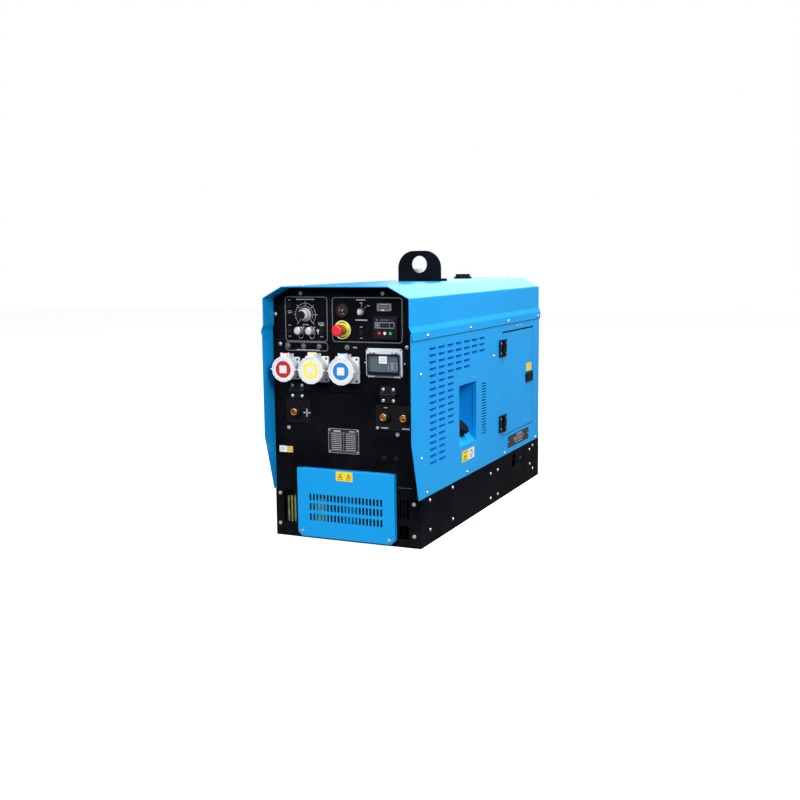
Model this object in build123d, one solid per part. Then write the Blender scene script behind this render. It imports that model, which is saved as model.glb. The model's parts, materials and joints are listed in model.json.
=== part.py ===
from build123d import *
import math
import os

os.makedirs("parts", exist_ok=True)

# Engine driven welder. Millimetres: X right, Y back, Z up, seen from the control side.
# The origin is the middle of the base's underside.

# Casing
SIDE_FACE = 275.0
SHEET = 2.5
BASE_HALF = 275.5
BASE_HEIGHT = 167.0
BASE_END = 671.0
BASE_WALL = 4.0
BASE_FRONT_TOP = 203.0
FRONT_FACE = -671.0
PANEL_THICK = 3.0
PANEL_HALF = 271.0
HINGE_SEAM = 513.0
OVERHANG_FRONT = -739.0
OVERHANG_KNEE_Z = 360.0
OVERHANG_FOOT_Y = -684.0
ROOF_TOP = 870.0
ROOF_CHAMFER_Z = 831.0
ROOF_FLAT_HALF = 196.0
ROOF_HALF = 270.0
ROOF_JOGGLE_TOP = 740.0
ROOF_JOGGLE_LOW = 722.0
ROOF_FLANGE_LOW = 695.0
ROOF_FLANGE_HALF = 278.0
ROOF_REAR = 680.0
ROOF_BEND = 7.0
EDGE = 1.5
SIDE_TOP = 718.0

# Openings in the side panels
LOUVER_SIZE = (60.0, 9.0)
LOUVER_CORNER = 6.0
LOUVER_PITCH = 22.65
LOUVER_TOP_Z = 663.0
LOUVER_COLUMNS = ((-587, 18), (-506, 18), (-423, 13), (-344, 5), (-261, 5), (-179, 3), (-98, 3))
VENT_SIZE = (52.0, 6.0)
VENT_PITCH = 10.5
VENT_ROWS = 19
VENT_CORNER = (-74.0, 295.0)
NICHE_Y = (-314.0, -132.0)
NICHE_Z = (281.0, 508.0)
NICHE_BACK = 205.0
DOOR_Y = (170.0, 580.0)
DOOR_Z = (248.0, 664.0)
DOOR_GAP = 3.0
DOOR_HINGE_Z = (603.0, 302.0)
DOOR_HINGE_HEIGHT = 66.0
DOOR_HINGE_X = 284.0
LATCH_Y = (474.0, 578.0)
LATCH_Z = (432.0, 475.0)
PIN_R = 3.0
BARREL_R = 6.0

# Screws: head and shank radius, clearance hole, and their places
HEAD_R = 6.8
SHANK_R = 3.0
HOLE_R = 3.3
SIDE_SCREWS = ((-662, 582), (63, 580), (-662, 304), (-615, 181), (-234, 180), (195, 178), (617, 177))
FLANGE_SCREW_Y = (-607, -199, 234, 642)
FLANGE_SCREW_Z = 706.0
BASE_SCREWS = (
    (-594, 151), (-593, 49), (-383, 152), (-381, 38), (25, 125), (26, 27),
    (110, 124), (111, 26), (533, 136), (538, 72), (577, 147), (579, 45),
)
BASE_FRONT_SCREWS = ((-258, 150), (-260, 43), (251, 150), (251, 41))
LOWER_SCREWS = ((-217, 384), (194, 381))
GRILLE_SCREWS = ((-162.5, 27), (166.5, 23))
CONTROL_SCREWS = ((-160, 846), (146, 846), (-259.5, 774), (-243, 672), (231, 671))
ROOF_SCREWS = ((-160, -660), (160, -660), (-160, 650), (0, 622), (160, 617))
REAR_SCREWS = ((-262, 580), (262, 580), (-262, 300), (262, 300))

# Power sockets: name, centre x, flange side, lid radius
SOCKET_Z = 590.5
SOCKETS = (("red", -204.0, 76.0, 44.0), ("yellow", -99.0, 88.0, 47.5), ("blue", 14.5, 89.0, 47.5))
SOCKET_FLANGE = 8.0
SOCKET_FRONT = -712.0
LID_THICK = 11.5
LID_GAP = 0.6
LID_HINGE_RISE = 7.0
LID_HINGE_Y = -708.0

# Small controls on the control panel
KNOB_AT = (-143.0, 773.0)
KEY_AT = (67.4, 785.0)
KEY_RING_R = 14.0
KEY_WING = 24.0
ESTOP_AT = (-3.4, 724.0)
ESTOP_LEGEND_R = 31.5
ESTOP_REACH = 46.0
GAUGE_AT = (-1.5, 789.0)
GAUGE_R = 25.0
HOUR_METER = (152.0, 800.5, 52.0, 25.0)
CONTROLLER = (157.3, 733.5, 87.0, 75.0)
BUTTONS = (("red", 136.8), ("white", 156.8), ("green", 176.8))
BUTTON_Z = 716.0
ROCKERS = (
    ("mode_rocker", -204.0, 804.0), ("remote_rocker", -205.0, 718.0),
    ("range_rocker", -82.0, 718.0), ("idle_rocker", 66.0, 716.0),
)
ROCKER_TILT = 9.0
REMOTES = (("left", -159.5, 720.0), ("right", -117.0, 720.0))
REMOTE_CAP_FRONT = 31.0
LAMP_R = 8.5
LAMPS = ((-212, 667), (-152, 667), (-92, 667), (13, 666))
BREAKER_FRAME = (151.7, 618.0, 131.5, 96.0)
WINDOW = (151.0, 613.0, 117.0, 70.0)
LEVER_X = (170.5, 188.5)
LEVER_Z = 604.0
WINDOW_HINGE_Z = WINDOW[1] + WINDOW[3] / 2 + 4.0
WINDOW_HINGE_Y = FRONT_FACE - 14.0

# Hinges between the control panel and the lower panel
HINGE_Y = FRONT_FACE - 5.7
PANEL_HINGE_X = (-181.5, 161.5)
PANEL_HINGE_HALF = 29.0
PANEL_PIN_R = 2.0

# Ball chains of the dust caps: each hangs from its cap's ring to the flange's lower right screw
CHAIN_R = 0.9
CAP_GROOVE_R = 11.6

# Welding sockets on the lower panel
PLATE_LEFT = (-224.0, -127.0, 402.0, 483.0)
PLATE_RIGHT = (116.0, 265.0, 393.0, 478.0)
PLATE_THICK = 5.0
WELD_SOCKETS = ((-183.0, 442.0), (153.0, 440.0), (225.0, 439.0))
WELD_BORE_R = 6.5
WELD_BORE_DEPTH = 32.0
WELD_FRONT = -697.0

# Grille cover
GRILLE_X = (-180.5, 187.5)
GRILLE_Z = (8.0, 248.0)
GRILLE_STAND = 18.0
SLOT_ROWS = ((136, 161), (102, 128), (66, 92))
SLOT_FIRST_X = -129.0
SLOT_PITCH = 13.4
SLOT_COUNT = 21

# Engine and generator
CRANK_Z = 370.0
FAN_Z = 520.0
ENGINE_Y = (0.0, 400.0)
ENGINE_HALF = 120.0
STATOR_Y = (-440.0, -60.0)
HOUSING_R = 165.0
CRANK_R = 28.0
BEARING_GAP = 0.05
MOUNT_X = 150.0
MOUNT_Y = (-380.0, 330.0)
BEAM_TOP = 130.0
MOUNT_TOP = 172.0
FAN_R = 172.0
FAN_BLADES = 7
BORE_R = 42.0
BORE_Y = (100.0, 200.0, 300.0)
THROW = 34.0
CASE_Z = (290.0, 600.0)
SUMP_LOW = 205.0
CASTING = 12.0
FOOT_HALF = 28.0
FOOT_THICK = 12.0
STATOR_R = 153.0
SHAFT_R = 26.0
RADIATOR_HALF = 205.0
RADIATOR_TUBES = 36
PULLEY_Y = (434.0, 450.0)
CRANK_PULLEY_R = 60.0
FAN_PULLEY_R = 50.0
CAP_CENTRE = (246.0, -212.0, 345.0)
NECK_X = 186.0
MUFFLER_AT = (150.0, 745.0)
OUTLET_AT = (68.0, 580.0)
ROOF_CAP_AT = (-25.0, 525.0)
EYE_Y = -15.0
EYE_THICK = 10.0
EYE_HALF = 88.0
EYE_TOP = 987.0
EYE_CORNER = 66.0
EYE_HOLE_Z = 935.0
EYE_HOLE_R = 32.5


def save(name, *solids):
    shape = solids[0] if len(solids) == 1 else Compound(children=list(solids))
    export_step(shape, f"parts/{name}.step")


def block(x0, x1, y0, y1, z0, z1):
    middle = Pos((x0 + x1) / 2, (y0 + y1) / 2, (z0 + z1) / 2)
    return middle * Box(x1 - x0, y1 - y0, z1 - z0)


def rod_y(x, z, radius, y0, y1):
    return Pos(x, (y0 + y1) / 2, z) * Rot(90, 0, 0) * Cylinder(radius, y1 - y0)


def rod_x(y, z, radius, x0, x1):
    return Pos((x0 + x1) / 2, y, z) * Rot(0, 90, 0) * Cylinder(radius, x1 - x0)


def rod_z(x, y, radius, z0, z1):
    return Pos(x, y, (z0 + z1) / 2) * Cylinder(radius, z1 - z0)


def frontal(sketch, y_front, thick):
    """A plate drawn in X and Z, from y_front backwards."""
    return extrude(Plane.XZ.offset(-(y_front + thick)) * sketch, thick)


def lateral(sketch, x0, thick):
    """A plate drawn in Y and Z, from x0 towards +X."""
    return extrude(Plane.YZ.offset(x0) * sketch, thick)


def rect(u0, u1, v0, v1):
    return Pos((u0 + u1) / 2, (v0 + v1) / 2) * Rectangle(u1 - u0, v1 - v0)


def polygon(points):
    return make_face(Polyline(points + points[:1]))


def dots(places, radius):
    return [Pos(u, v) * Circle(radius) for u, v in places]


def mirrored(shape):
    return mirror(shape, about=Plane.YZ)


def screw():
    """A flanged button-head screw, its seat at z 0 and its head upwards."""
    head = Pos(0, 0, 0.7) * Cylinder(HEAD_R, 1.4)
    crown = Pos(0, 0, 2.8) * Cone(5.4, 3.6, 2.8)
    shank = Pos(0, 0, -3.5) * Cylinder(SHANK_R, 7.0)
    key = extrude(Plane.XY.offset(2.4) * RegularPolygon(2.3, 6), 3)
    return head + crown + shank - key


SCREW = screw()


def screws(places, direction):
    return [Plane(origin=at, z_dir=direction).location * SCREW for at in places]


# ---------------------------------------------------------------- base and casing


def base_side():
    outline = rect(-BASE_END, BASE_END, 0, BASE_HEIGHT)
    plate = outline - dots(BASE_SCREWS, HOLE_R) - Pos(318, 125) * Circle(29)
    wall = lateral(plate, BASE_HALF - BASE_WALL, BASE_WALL)
    ledge = block(245, BASE_HALF - BASE_WALL, -BASE_END, BASE_END, BASE_HEIGHT - 4, BASE_HEIGHT)
    return wall + ledge


def base_front():
    outline = rect(-BASE_HALF, BASE_HALF, 0, BASE_HEIGHT)
    outline += rect(-PANEL_HALF, PANEL_HALF, BASE_HEIGHT, BASE_FRONT_TOP)
    outline -= rect(-150, 140, 52, 172)
    outline -= rect(195, 231, 28, 74)
    outline -= dots(BASE_FRONT_SCREWS, HOLE_R)
    outline -= dots(GRILLE_SCREWS, HOLE_R)
    for column in range(4):
        left = -244 + column * 13
        outline -= rect(left, left + 9, 47, 162)
        outline -= rect(185 + column * 13, 193 + column * 13, 97, 161)
    return frontal(outline, FRONT_FACE, BASE_WALL)


def cross_beam(y):
    """An open channel across the floor. Its top flange carries two rubber mounts."""
    outer = block(-272, 272, y - 30, y + 30, BASE_WALL - 1, BEAM_TOP)
    return outer - block(-273, 273, y - 26, y + 31, BASE_WALL, BEAM_TOP - 4)


def base_frame():
    side = base_side()
    frame = side + mirrored(side) + base_front()
    frame += block(-BASE_HALF, BASE_HALF, BASE_END - BASE_WALL, BASE_END, 0, BASE_HEIGHT)
    frame += block(-BASE_HALF, BASE_HALF, -BASE_END, BASE_END, 0, BASE_WALL)
    for y in MOUNT_Y:
        frame += cross_beam(y)
    save("base_frame", frame)


def side_outline():
    return polygon([
        (OVERHANG_FRONT, SIDE_TOP), (OVERHANG_FRONT, OVERHANG_KNEE_Z), (OVERHANG_FOOT_Y, BASE_HEIGHT),
        (BASE_END, BASE_HEIGHT), (BASE_END, SIDE_TOP),
    ])


def louver_cuts():
    cuts = []
    for left, rows in LOUVER_COLUMNS:
        for row in range(rows):
            top = LOUVER_TOP_Z - row * LOUVER_PITCH
            opening = rect(left, left + LOUVER_SIZE[0], top - LOUVER_SIZE[1], top)
            cuts.append(fillet(opening.vertices().group_by(Axis.Y)[0], LOUVER_CORNER))
    return cuts


def vent_cuts():
    y, z = VENT_CORNER
    steps = [z + row * VENT_PITCH for row in range(VENT_ROWS)]
    return [rect(y, y + VENT_SIZE[0], low, low + VENT_SIZE[1] - 1.5) for low in steps]


def side_panels():
    holes = dots(SIDE_SCREWS, HOLE_R)
    holes += dots([(y, FLANGE_SCREW_Z) for y in FLANGE_SCREW_Y], HOLE_R)
    common = side_outline() - holes - louver_cuts() - vent_cuts()
    right = common - rect(*NICHE_Y, *NICHE_Z) - rect(*DOOR_Y, *DOOR_Z)
    save("right_side_panel", lateral(right, SIDE_FACE - SHEET, SHEET))
    save("left_side_panel", lateral(common, -SIDE_FACE, SHEET))


def roof_profile():
    half = [
        (ROOF_FLANGE_HALF, ROOF_FLANGE_LOW), (ROOF_FLANGE_HALF, ROOF_JOGGLE_LOW),
        (ROOF_HALF, ROOF_JOGGLE_TOP), (ROOF_HALF, ROOF_CHAMFER_Z), (ROOF_FLAT_HALF, ROOF_TOP),
    ]
    outer = polygon(half + [(-x, z) for x, z in reversed(half)])
    outer = fillet(outer.vertices().filter_by(lambda v: v.Y > ROOF_FLANGE_LOW + 1), ROOF_BEND)
    inner = offset(outer, -SHEET)
    inside = ROOF_FLANGE_HALF - SHEET
    return outer - inner - rect(-inside, inside, ROOF_FLANGE_LOW - 1, ROOF_FLANGE_LOW + SHEET + 1)


def roof_cover():
    roof = frontal(roof_profile(), OVERHANG_FRONT, ROOF_REAR - OVERHANG_FRONT)
    for x, y in ROOF_SCREWS:
        roof -= rod_z(x, y, HOLE_R, ROOF_TOP - 5, ROOF_TOP + 1)
    for y in FLANGE_SCREW_Y:
        roof -= rod_x(y, FLANGE_SCREW_Z, HOLE_R, -ROOF_FLANGE_HALF - 1, ROOF_FLANGE_HALF + 1)
    x, y = OUTLET_AT
    roof -= block(x - 65, x + 65, y - 32, y + 32, ROOF_TOP - 10, ROOF_TOP + 10)
    roof -= rod_z(*ROOF_CAP_AT, 33.0, ROOF_TOP - 10, ROOF_TOP + 10)
    front, low = OVERHANG_FRONT - 1, ROOF_FLANGE_LOW - 5
    corner = polygon([(front, low), (front + 13, low), (front, low + 26)])
    save("roof_cover", roof - lateral(corner, -300, 600))


def rear_panel():
    half = [
        (268, BASE_HEIGHT + 1), (268, SIDE_TOP - 1), (266, ROOF_JOGGLE_TOP),
        (266, ROOF_CHAMFER_Z - 3), (ROOF_FLAT_HALF - 1.5, ROOF_TOP - 4),
    ]
    outline = polygon(half + [(-x, z) for x, z in reversed(half)]) - dots(REAR_SCREWS, HOLE_R)
    for column in range(5):
        left = -190 + column * 78
        for row in range(18):
            low = 225 + row * 24
            outline -= rect(left, left + 66, low, low + 7)
    save("rear_panel", frontal(outline, BASE_END - SHEET, SHEET))


def filler_niche():
    slope = NICHE_Z[0] + SIDE_FACE
    outer = polygon([
        (SIDE_FACE - SHEET, slope - SIDE_FACE + SHEET - 3), (NICHE_BACK - 2, slope - NICHE_BACK - 1),
        (NICHE_BACK - 2, NICHE_Z[1] + 2), (SIDE_FACE - SHEET, NICHE_Z[1] + 2),
    ])
    inner = polygon([
        (SIDE_FACE + 5, NICHE_Z[0] - 5), (NICHE_BACK, slope - NICHE_BACK), (NICHE_BACK, NICHE_Z[1]),
        (SIDE_FACE + 5, NICHE_Z[1]),
    ])
    shell = frontal(outer, NICHE_Y[0] - 2, NICHE_Y[1] - NICHE_Y[0] + 4)
    shell -= frontal(inner, NICHE_Y[0], NICHE_Y[1] - NICHE_Y[0])
    shell -= neck_axis().location * Pos(0, 0, -30) * Cylinder(24.5, 60)
    save("filler_niche", shell)


def lifting_eye():
    blank = rect(-EYE_HALF, EYE_HALF, ROOF_TOP, EYE_TOP)
    outline = fillet(blank.vertices().group_by(Axis.Y)[-1], EYE_CORNER)
    outline -= Pos(0, EYE_HOLE_Z) * Circle(EYE_HOLE_R)
    plate = frontal(outline, EYE_Y - EYE_THICK / 2, EYE_THICK)
    foot = block(-EYE_HALF, EYE_HALF, EYE_Y - EYE_THICK / 2, EYE_Y + 65, ROOF_TOP, ROOF_TOP + EYE_THICK)
    save("lifting_eye", plate + foot)


def casing_screws():
    placed = screws([(x, y, ROOF_TOP) for x, y in ROOF_SCREWS], (0, 0, 1))
    placed += screws([(x, BASE_END, z) for x, z in REAR_SCREWS], (0, 1, 0))
    placed += screws([(x, FRONT_FACE, z) for x, z in BASE_FRONT_SCREWS], (0, -1, 0))
    placed += screws([(x, FRONT_FACE, z) for x, z in LOWER_SCREWS], (0, -1, 0))
    placed += screws([(x, FRONT_FACE - GRILLE_STAND, z) for x, z in GRILLE_SCREWS], (0, -1, 0))
    for sign in (1, -1):
        out = (sign, 0, 0)
        placed += screws([(sign * SIDE_FACE, y, z) for y, z in SIDE_SCREWS], out)
        placed += screws([(sign * ROOF_FLANGE_HALF, y, FLANGE_SCREW_Z) for y in FLANGE_SCREW_Y], out)
        placed += screws([(sign * BASE_HALF, y, z) for y, z in BASE_SCREWS], out)
    save("casing_screws", *placed)


# ---------------------------------------------------------------- side door


def softened(solid, axis, radius=EDGE):
    """Rounds the edges of the outermost face along an axis."""
    return fillet(solid.faces().sort_by(axis)[-1].edges(), radius)


def hinge_barrel(z0, z1):
    return rod_z(DOOR_HINGE_X, DOOR_Y[0], BARREL_R, z0, z1)


def door_hinge(z, moving):
    """One leaf of a lift-off block hinge. The fixed leaf carries the pin in its lower knuckle."""
    low, high = z - DOOR_HINGE_HEIGHT / 2, z + DOOR_HINGE_HEIGHT / 2
    y = DOOR_Y[0]
    if moving:
        leaf = softened(block(SIDE_FACE, SIDE_FACE + 6, y + 5, y + 41, low, high), Axis.X)
        arm = block(SIDE_FACE + 2, DOOR_HINGE_X, y, y + 14, z + 0.4, high)
        body = leaf + arm + hinge_barrel(z + 0.4, high)
        body -= rod_z(DOOR_HINGE_X, y, BARREL_R + 1, low - 1, z + 0.4)
        return body - rod_z(DOOR_HINGE_X, y, PIN_R + BEARING_GAP, low - 1, high - 4)
    leaf = softened(block(SIDE_FACE, SIDE_FACE + 6, y - 44, y - 7.5, low, high), Axis.X)
    arm = block(SIDE_FACE + 2, DOOR_HINGE_X, y - 14, y, low, z - 0.4)
    pin = rod_z(DOOR_HINGE_X, y, PIN_R, low, high - 6)
    return leaf + arm + hinge_barrel(low, z - 0.4) + pin


def side_door():
    y0, y1 = DOOR_Y[0] + DOOR_GAP, DOOR_Y[1] - DOOR_GAP
    z0, z1 = DOOR_Z[0] + DOOR_GAP, DOOR_Z[1] - DOOR_GAP - 2
    skin = block(SIDE_FACE - SHEET, SIDE_FACE, y0, y1, z0, z1)
    rim = block(SIDE_FACE - 18, SIDE_FACE, y0, y1, z0, z1)
    rim -= block(SIDE_FACE - 19, SIDE_FACE + 1, y0 + SHEET, y1 - SHEET, z0 + SHEET, z1 - SHEET)
    door = softened(skin + rim, Axis.X, 1.2)
    latch = (LATCH_Y[0] + 6, LATCH_Y[1] - 8, LATCH_Z[0] + 7, LATCH_Z[1] - 7)
    save("side_door", door - block(SIDE_FACE - 4, SIDE_FACE + 1, *latch))


def latch_housing():
    y0, y1 = LATCH_Y[0], LATCH_Y[1] - 4
    z0, z1 = LATCH_Z
    rim = block(SIDE_FACE, SIDE_FACE + 4, y0, y1, z0, z1)
    rim = softened(fillet(rim.edges().filter_by(Axis.X), 6), Axis.X)
    tub = block(SIDE_FACE - 16, SIDE_FACE, y0 + 6.3, y1 - 4.3, z0 + 7.3, z1 - 7.3)
    dish = block(SIDE_FACE - 14, SIDE_FACE + 5, y0 + 9, y1 - 7, z0 + 10, z1 - 10)
    return rim + tub - dish


def latch_paddle():
    y0, y1 = LATCH_Y[0] + 15, LATCH_Y[1] - 13
    paddle = block(SIDE_FACE + 1, SIDE_FACE + 5.5, y0, y1, LATCH_Z[0] + 11, LATCH_Z[1] - 11)
    root = block(SIDE_FACE - 8, SIDE_FACE + 2, y0, y0 + 6, LATCH_Z[0] + 11, LATCH_Z[1] - 11)
    save("latch_paddle", fillet((paddle + root).edges().filter_by(Axis.Z).group_by(Axis.X)[-1], 1.5))


def door_fittings():
    save("door_fittings", *[door_hinge(z, True) for z in DOOR_HINGE_Z], latch_housing())


# ---------------------------------------------------------------- front panels


def panel_hinge(x, moving):
    """One leaf of a front hinge. The lower leaf has the outer knuckles and the pin."""
    sign = 1 if moving else -1
    z0, z1 = sorted((HINGE_SEAM + sign * 5.5, HINGE_SEAM + sign * 28))
    leaf = block(x - PANEL_HINGE_HALF, x + PANEL_HINGE_HALF, FRONT_FACE - 2.5, FRONT_FACE, z0, z1)
    spans = ((-9.7, 9.7),) if moving else ((-29, -10), (10, 29))
    for a, b in spans:
        web = sorted((HINGE_SEAM, HINGE_SEAM + sign * 8))
        leaf += block(x + a, x + b, HINGE_Y - 1, FRONT_FACE - 1.2, *web)
        leaf += rod_x(HINGE_Y, HINGE_SEAM, 4.5, x + a, x + b)
    if moving:
        return leaf - rod_x(HINGE_Y, HINGE_SEAM, PANEL_PIN_R + BEARING_GAP, x - 30, x + 30)
    return leaf + rod_x(HINGE_Y, HINGE_SEAM, PANEL_PIN_R, x - 28, x + 28)


def fixed_hinge_leaves():
    leaves = [panel_hinge(x, False) for x in PANEL_HINGE_X]
    leaves += [door_hinge(z, False) for z in DOOR_HINGE_Z]
    save("fixed_hinge_leaves", *leaves)


def panel_hardware():
    leaves = [panel_hinge(x, True) for x in PANEL_HINGE_X]
    save("panel_hardware", *leaves, *screws([(x, FRONT_FACE, z) for x, z in CONTROL_SCREWS], (0, -1, 0)))


def lower_front_panel():
    outline = rect(-PANEL_HALF, PANEL_HALF, BASE_FRONT_TOP + 1, HINGE_SEAM - 1)
    outline -= dots(WELD_SOCKETS, 14.0)
    outline -= dots(LOWER_SCREWS, HOLE_R)
    save("lower_front_panel", frontal(outline, FRONT_FACE, PANEL_THICK))


def centred(x, z, width, height):
    return Pos(x, z) * Rectangle(width, height)


def control_outline():
    half = [
        (PANEL_HALF, HINGE_SEAM + 1), (PANEL_HALF, 712), (PANEL_HALF - 5, 738),
        (PANEL_HALF - 5, ROOF_CHAMFER_Z - 4), (ROOF_FLAT_HALF - SHEET, ROOF_TOP - 5),
    ]
    return polygon(half + [(-x, z) for x, z in reversed(half)])


def control_panel():
    plate = control_outline() - dots(CONTROL_SCREWS, HOLE_R)
    plate -= dots([(x, SOCKET_Z) for _, x, _, _ in SOCKETS], 31.5)
    plate -= Pos(*GAUGE_AT) * Circle(GAUGE_R - 2)
    plate -= dots([KEY_AT, ESTOP_AT], 11.2)
    plate -= Pos(*KNOB_AT) * Circle(5.5)
    plate -= dots([(x, z) for _, x, z in REMOTES], 9.6)
    plate -= dots(LAMPS, 6.0)
    for _, x, z in ROCKERS:
        plate -= centred(x, z, 13.4, 19.4)
    plate -= centred(HOUR_METER[0], HOUR_METER[1], HOUR_METER[2] - 4, HOUR_METER[3] - 4)
    plate -= centred(CONTROLLER[0], CONTROLLER[1], CONTROLLER[2] - 8, CONTROLLER[3] - 8)
    plate -= centred(WINDOW[0], WINDOW[1], 109, 54)
    save("control_panel", frontal(plate, FRONT_FACE, PANEL_THICK))


def bezel_box(x, z, width, height, proud, deep, inset):
    """A flush instrument: a bezel in front of the panel and a body through it."""
    bezel = frontal(RectangleRounded(width, height, 3), FRONT_FACE - proud, proud)
    body = frontal(Rectangle(width - inset, height - inset), FRONT_FACE, deep)
    return Pos(x, 0, z) * (softened(bezel, -Axis.Y, 0.25 * proud) + body)


def flutes(x, z, reach, radius, count, y0, y1):
    """Rods in a ring round a Y axis, which cut the grip grooves of a turned part."""
    step = 2 * math.pi / count
    at = [(x + reach * math.cos(i * step), z + reach * math.sin(i * step)) for i in range(count)]
    return [rod_y(u, v, radius, y0, y1) for u, v in at]


def fuel_gauge():
    x, z = GAUGE_AT
    bezel = rod_y(x, z, GAUGE_R, FRONT_FACE - 6, FRONT_FACE)
    dish = rod_y(x, z, GAUGE_R - 3, FRONT_FACE - 7, FRONT_FACE - 3)
    can = rod_y(x, z, GAUGE_R - 2.4, FRONT_FACE, FRONT_FACE + 45)
    return bezel - dish + can


def controller_box():
    box = bezel_box(*CONTROLLER, 10, 42, 9)
    for _, x in BUTTONS:
        box -= rod_y(x, BUTTON_Z, 5.4, FRONT_FACE - 11, FRONT_FACE - 5)
    return box


def rocker_frame(x, z):
    frame = bezel_box(x, z, 17, 23, 2.5, 22, 4)
    well = block(x - 5.6, x + 5.6, FRONT_FACE - 4, FRONT_FACE + 6, z - 8.6, z + 8.6)
    return frame - well


def key_barrel():
    x, z = KEY_AT
    barrel = rod_y(x, z, KEY_RING_R, FRONT_FACE - 9, FRONT_FACE)
    barrel += rod_y(x, z, 11, FRONT_FACE, FRONT_FACE + 45)
    return barrel - rod_y(x, z, 9.05, FRONT_FACE - 10, FRONT_FACE + 12)


def estop_base():
    x, z = ESTOP_AT
    legend = rod_y(x, z, ESTOP_LEGEND_R, FRONT_FACE - 3, FRONT_FACE)
    collar = rod_y(x, z, 14.5, FRONT_FACE - 22, FRONT_FACE)
    body = rod_y(x, z, 11, FRONT_FACE, FRONT_FACE + 50)
    return legend + collar + body - rod_y(x, z, 8.05, FRONT_FACE - 23, FRONT_FACE + 20)


def lamp(x, z):
    head = rod_y(x, z, LAMP_R, FRONT_FACE - 6, FRONT_FACE)
    return head + rod_y(x, z, 5.7, FRONT_FACE, FRONT_FACE + 18)


def instrument_bodies():
    hour_meter = bezel_box(*HOUR_METER, 4, 40, 5)
    solids = [fuel_gauge(), hour_meter, controller_box(), key_barrel(), estop_base()]
    solids += [rocker_frame(x, z) for _, x, z in ROCKERS]
    solids += [lamp(x, z) for x, z in LAMPS]
    save("instrument_bodies", *solids)


def rockers():
    for name, x, z in ROCKERS:
        paddle = block(x - 5.2, x + 5.2, FRONT_FACE - 4.5, FRONT_FACE + 1.5, z - 7.4, z + 7.4)
        trim = Pos(x, FRONT_FACE - 12, z) * Rot(0, 90, 0) * Cylinder(9.6, 12)
        barrel = rod_x(FRONT_FACE + 1.5, z, 3.2, x - 5.2, x + 5.2)
        shaped = paddle - trim + barrel
        pivot = Location((x, FRONT_FACE + 1.5, z))
        tilted = pivot * Rot(-ROCKER_TILT, 0, 0) * pivot.inverse() * shaped
        save(name, tilted)


def current_knob():
    x, z = KNOB_AT
    skirt = Pos(x, FRONT_FACE - 4.5, z) * Rot(90, 0, 0) * Cone(23.5, 20, 7)
    grip = softened(rod_y(x, z, 14, FRONT_FACE - 40, FRONT_FACE - 7), -Axis.Y, 2.5)
    grip -= flutes(x, z, 15.2, 2.0, 18, FRONT_FACE - 41, FRONT_FACE - 9)
    shaft = rod_y(x, z, 3.0, FRONT_FACE - 2, FRONT_FACE + 15)
    save("current_knob", skirt + grip + shaft)


def key_rotor():
    x, z = KEY_AT
    plug = rod_y(x, z, 9.0, FRONT_FACE - 10, FRONT_FACE + 10)
    wing = block(x - 1.5, x + 1.5, FRONT_FACE - KEY_WING, FRONT_FACE - 9, z - 9, z + 9)
    save("key_rotor", plug + wing)


def estop_head():
    x, z = ESTOP_AT
    stem = rod_y(x, z, 8.0, FRONT_FACE - 36, FRONT_FACE + 8)
    head = softened(rod_y(x, z, 20, FRONT_FACE - ESTOP_REACH, FRONT_FACE - 30), -Axis.Y, 7)
    save("estop_button", stem + head)


def controller_buttons():
    for name, x in BUTTONS:
        save(f"{name}_button", rod_y(x, BUTTON_Z, 5.0, FRONT_FACE - 12, FRONT_FACE - 6.4))


def remote_sockets():
    solids = []
    for _, x, z in REMOTES:
        flange = Pos(x, 0, z) * frontal(RectangleRounded(27, 27, 3), FRONT_FACE - 3, 3)
        shell = rod_y(x, z, 9.3, FRONT_FACE - 15, FRONT_FACE + 16)
        solids.append(flange + shell - rod_y(x, z, 7.4, FRONT_FACE - 16, FRONT_FACE - 4))
    save("remote_sockets", *solids)


def remote_caps():
    y = FRONT_FACE
    for name, x, z in REMOTES:
        cap = softened(rod_y(x, z, 13.2, y - REMOTE_CAP_FRONT, y - 8), -Axis.Y)
        cap -= rod_y(x, z, 9.36, y - 18, y - 7)
        cap -= rod_y(x, z, 14, y - 14, y - 11) - rod_y(x, z, CAP_GROOVE_R, y - 14, y - 11)
        cap -= flutes(x, z, 14.2, 1.8, 12, y - REMOTE_CAP_FRONT - 1, y - 15)
        save(f"{name}_remote_cap", cap)


def chain_route(x, z):
    y = FRONT_FACE
    return [
        (x - 3.0, y - 12.5, z - 11.9), (x - 3.5, y - 12.7, z - 16.0), (x - 3.3, y - 12.2, z - 20.5),
        (x - 1.3, y - 11.0, z - 25.2), (x + 3.4, y - 9.6, z - 27.2), (x + 8.1, y - 8.2, z - 25.2),
        (x + 10.2, y - 6.6, z - 20.5), (x + 10.5, y - 5.4, z - 15.2), (x + 10.1, y - 4.9, z - 10.4),
    ]


def arc_radii(points):
    """A radius for each corner of a route, from its shorter run and its turn."""
    spots = [Vector(*p) for p in points]
    radii = []
    for a, b, c in zip(spots, spots[1:], spots[2:]):
        turn = (b - a).get_angle(c - b)
        radii.append(0.45 * min((b - a).length, (c - b).length) / math.tan(math.radians(turn / 2)))
    return radii


def cap_chains():
    for name, x, z in REMOTES:
        route = chain_route(x, z)
        radii = arc_radii(route)
        path = FilletPolyline(*route, radius=radii)
        start = Plane(origin=path @ 0, z_dir=path % 0)
        tube = sweep(start * Circle(CHAIN_R), path=path)
        print(name, "chain length", round(path.length, 1), "radii", [round(r, 1) for r in radii])
        print("  volume ratio", round(tube.volume / (math.pi * CHAIN_R**2 * path.length), 3))
        save(f"{name}_cap_chain", tube)


# ---------------------------------------------------------------- power sockets


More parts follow.
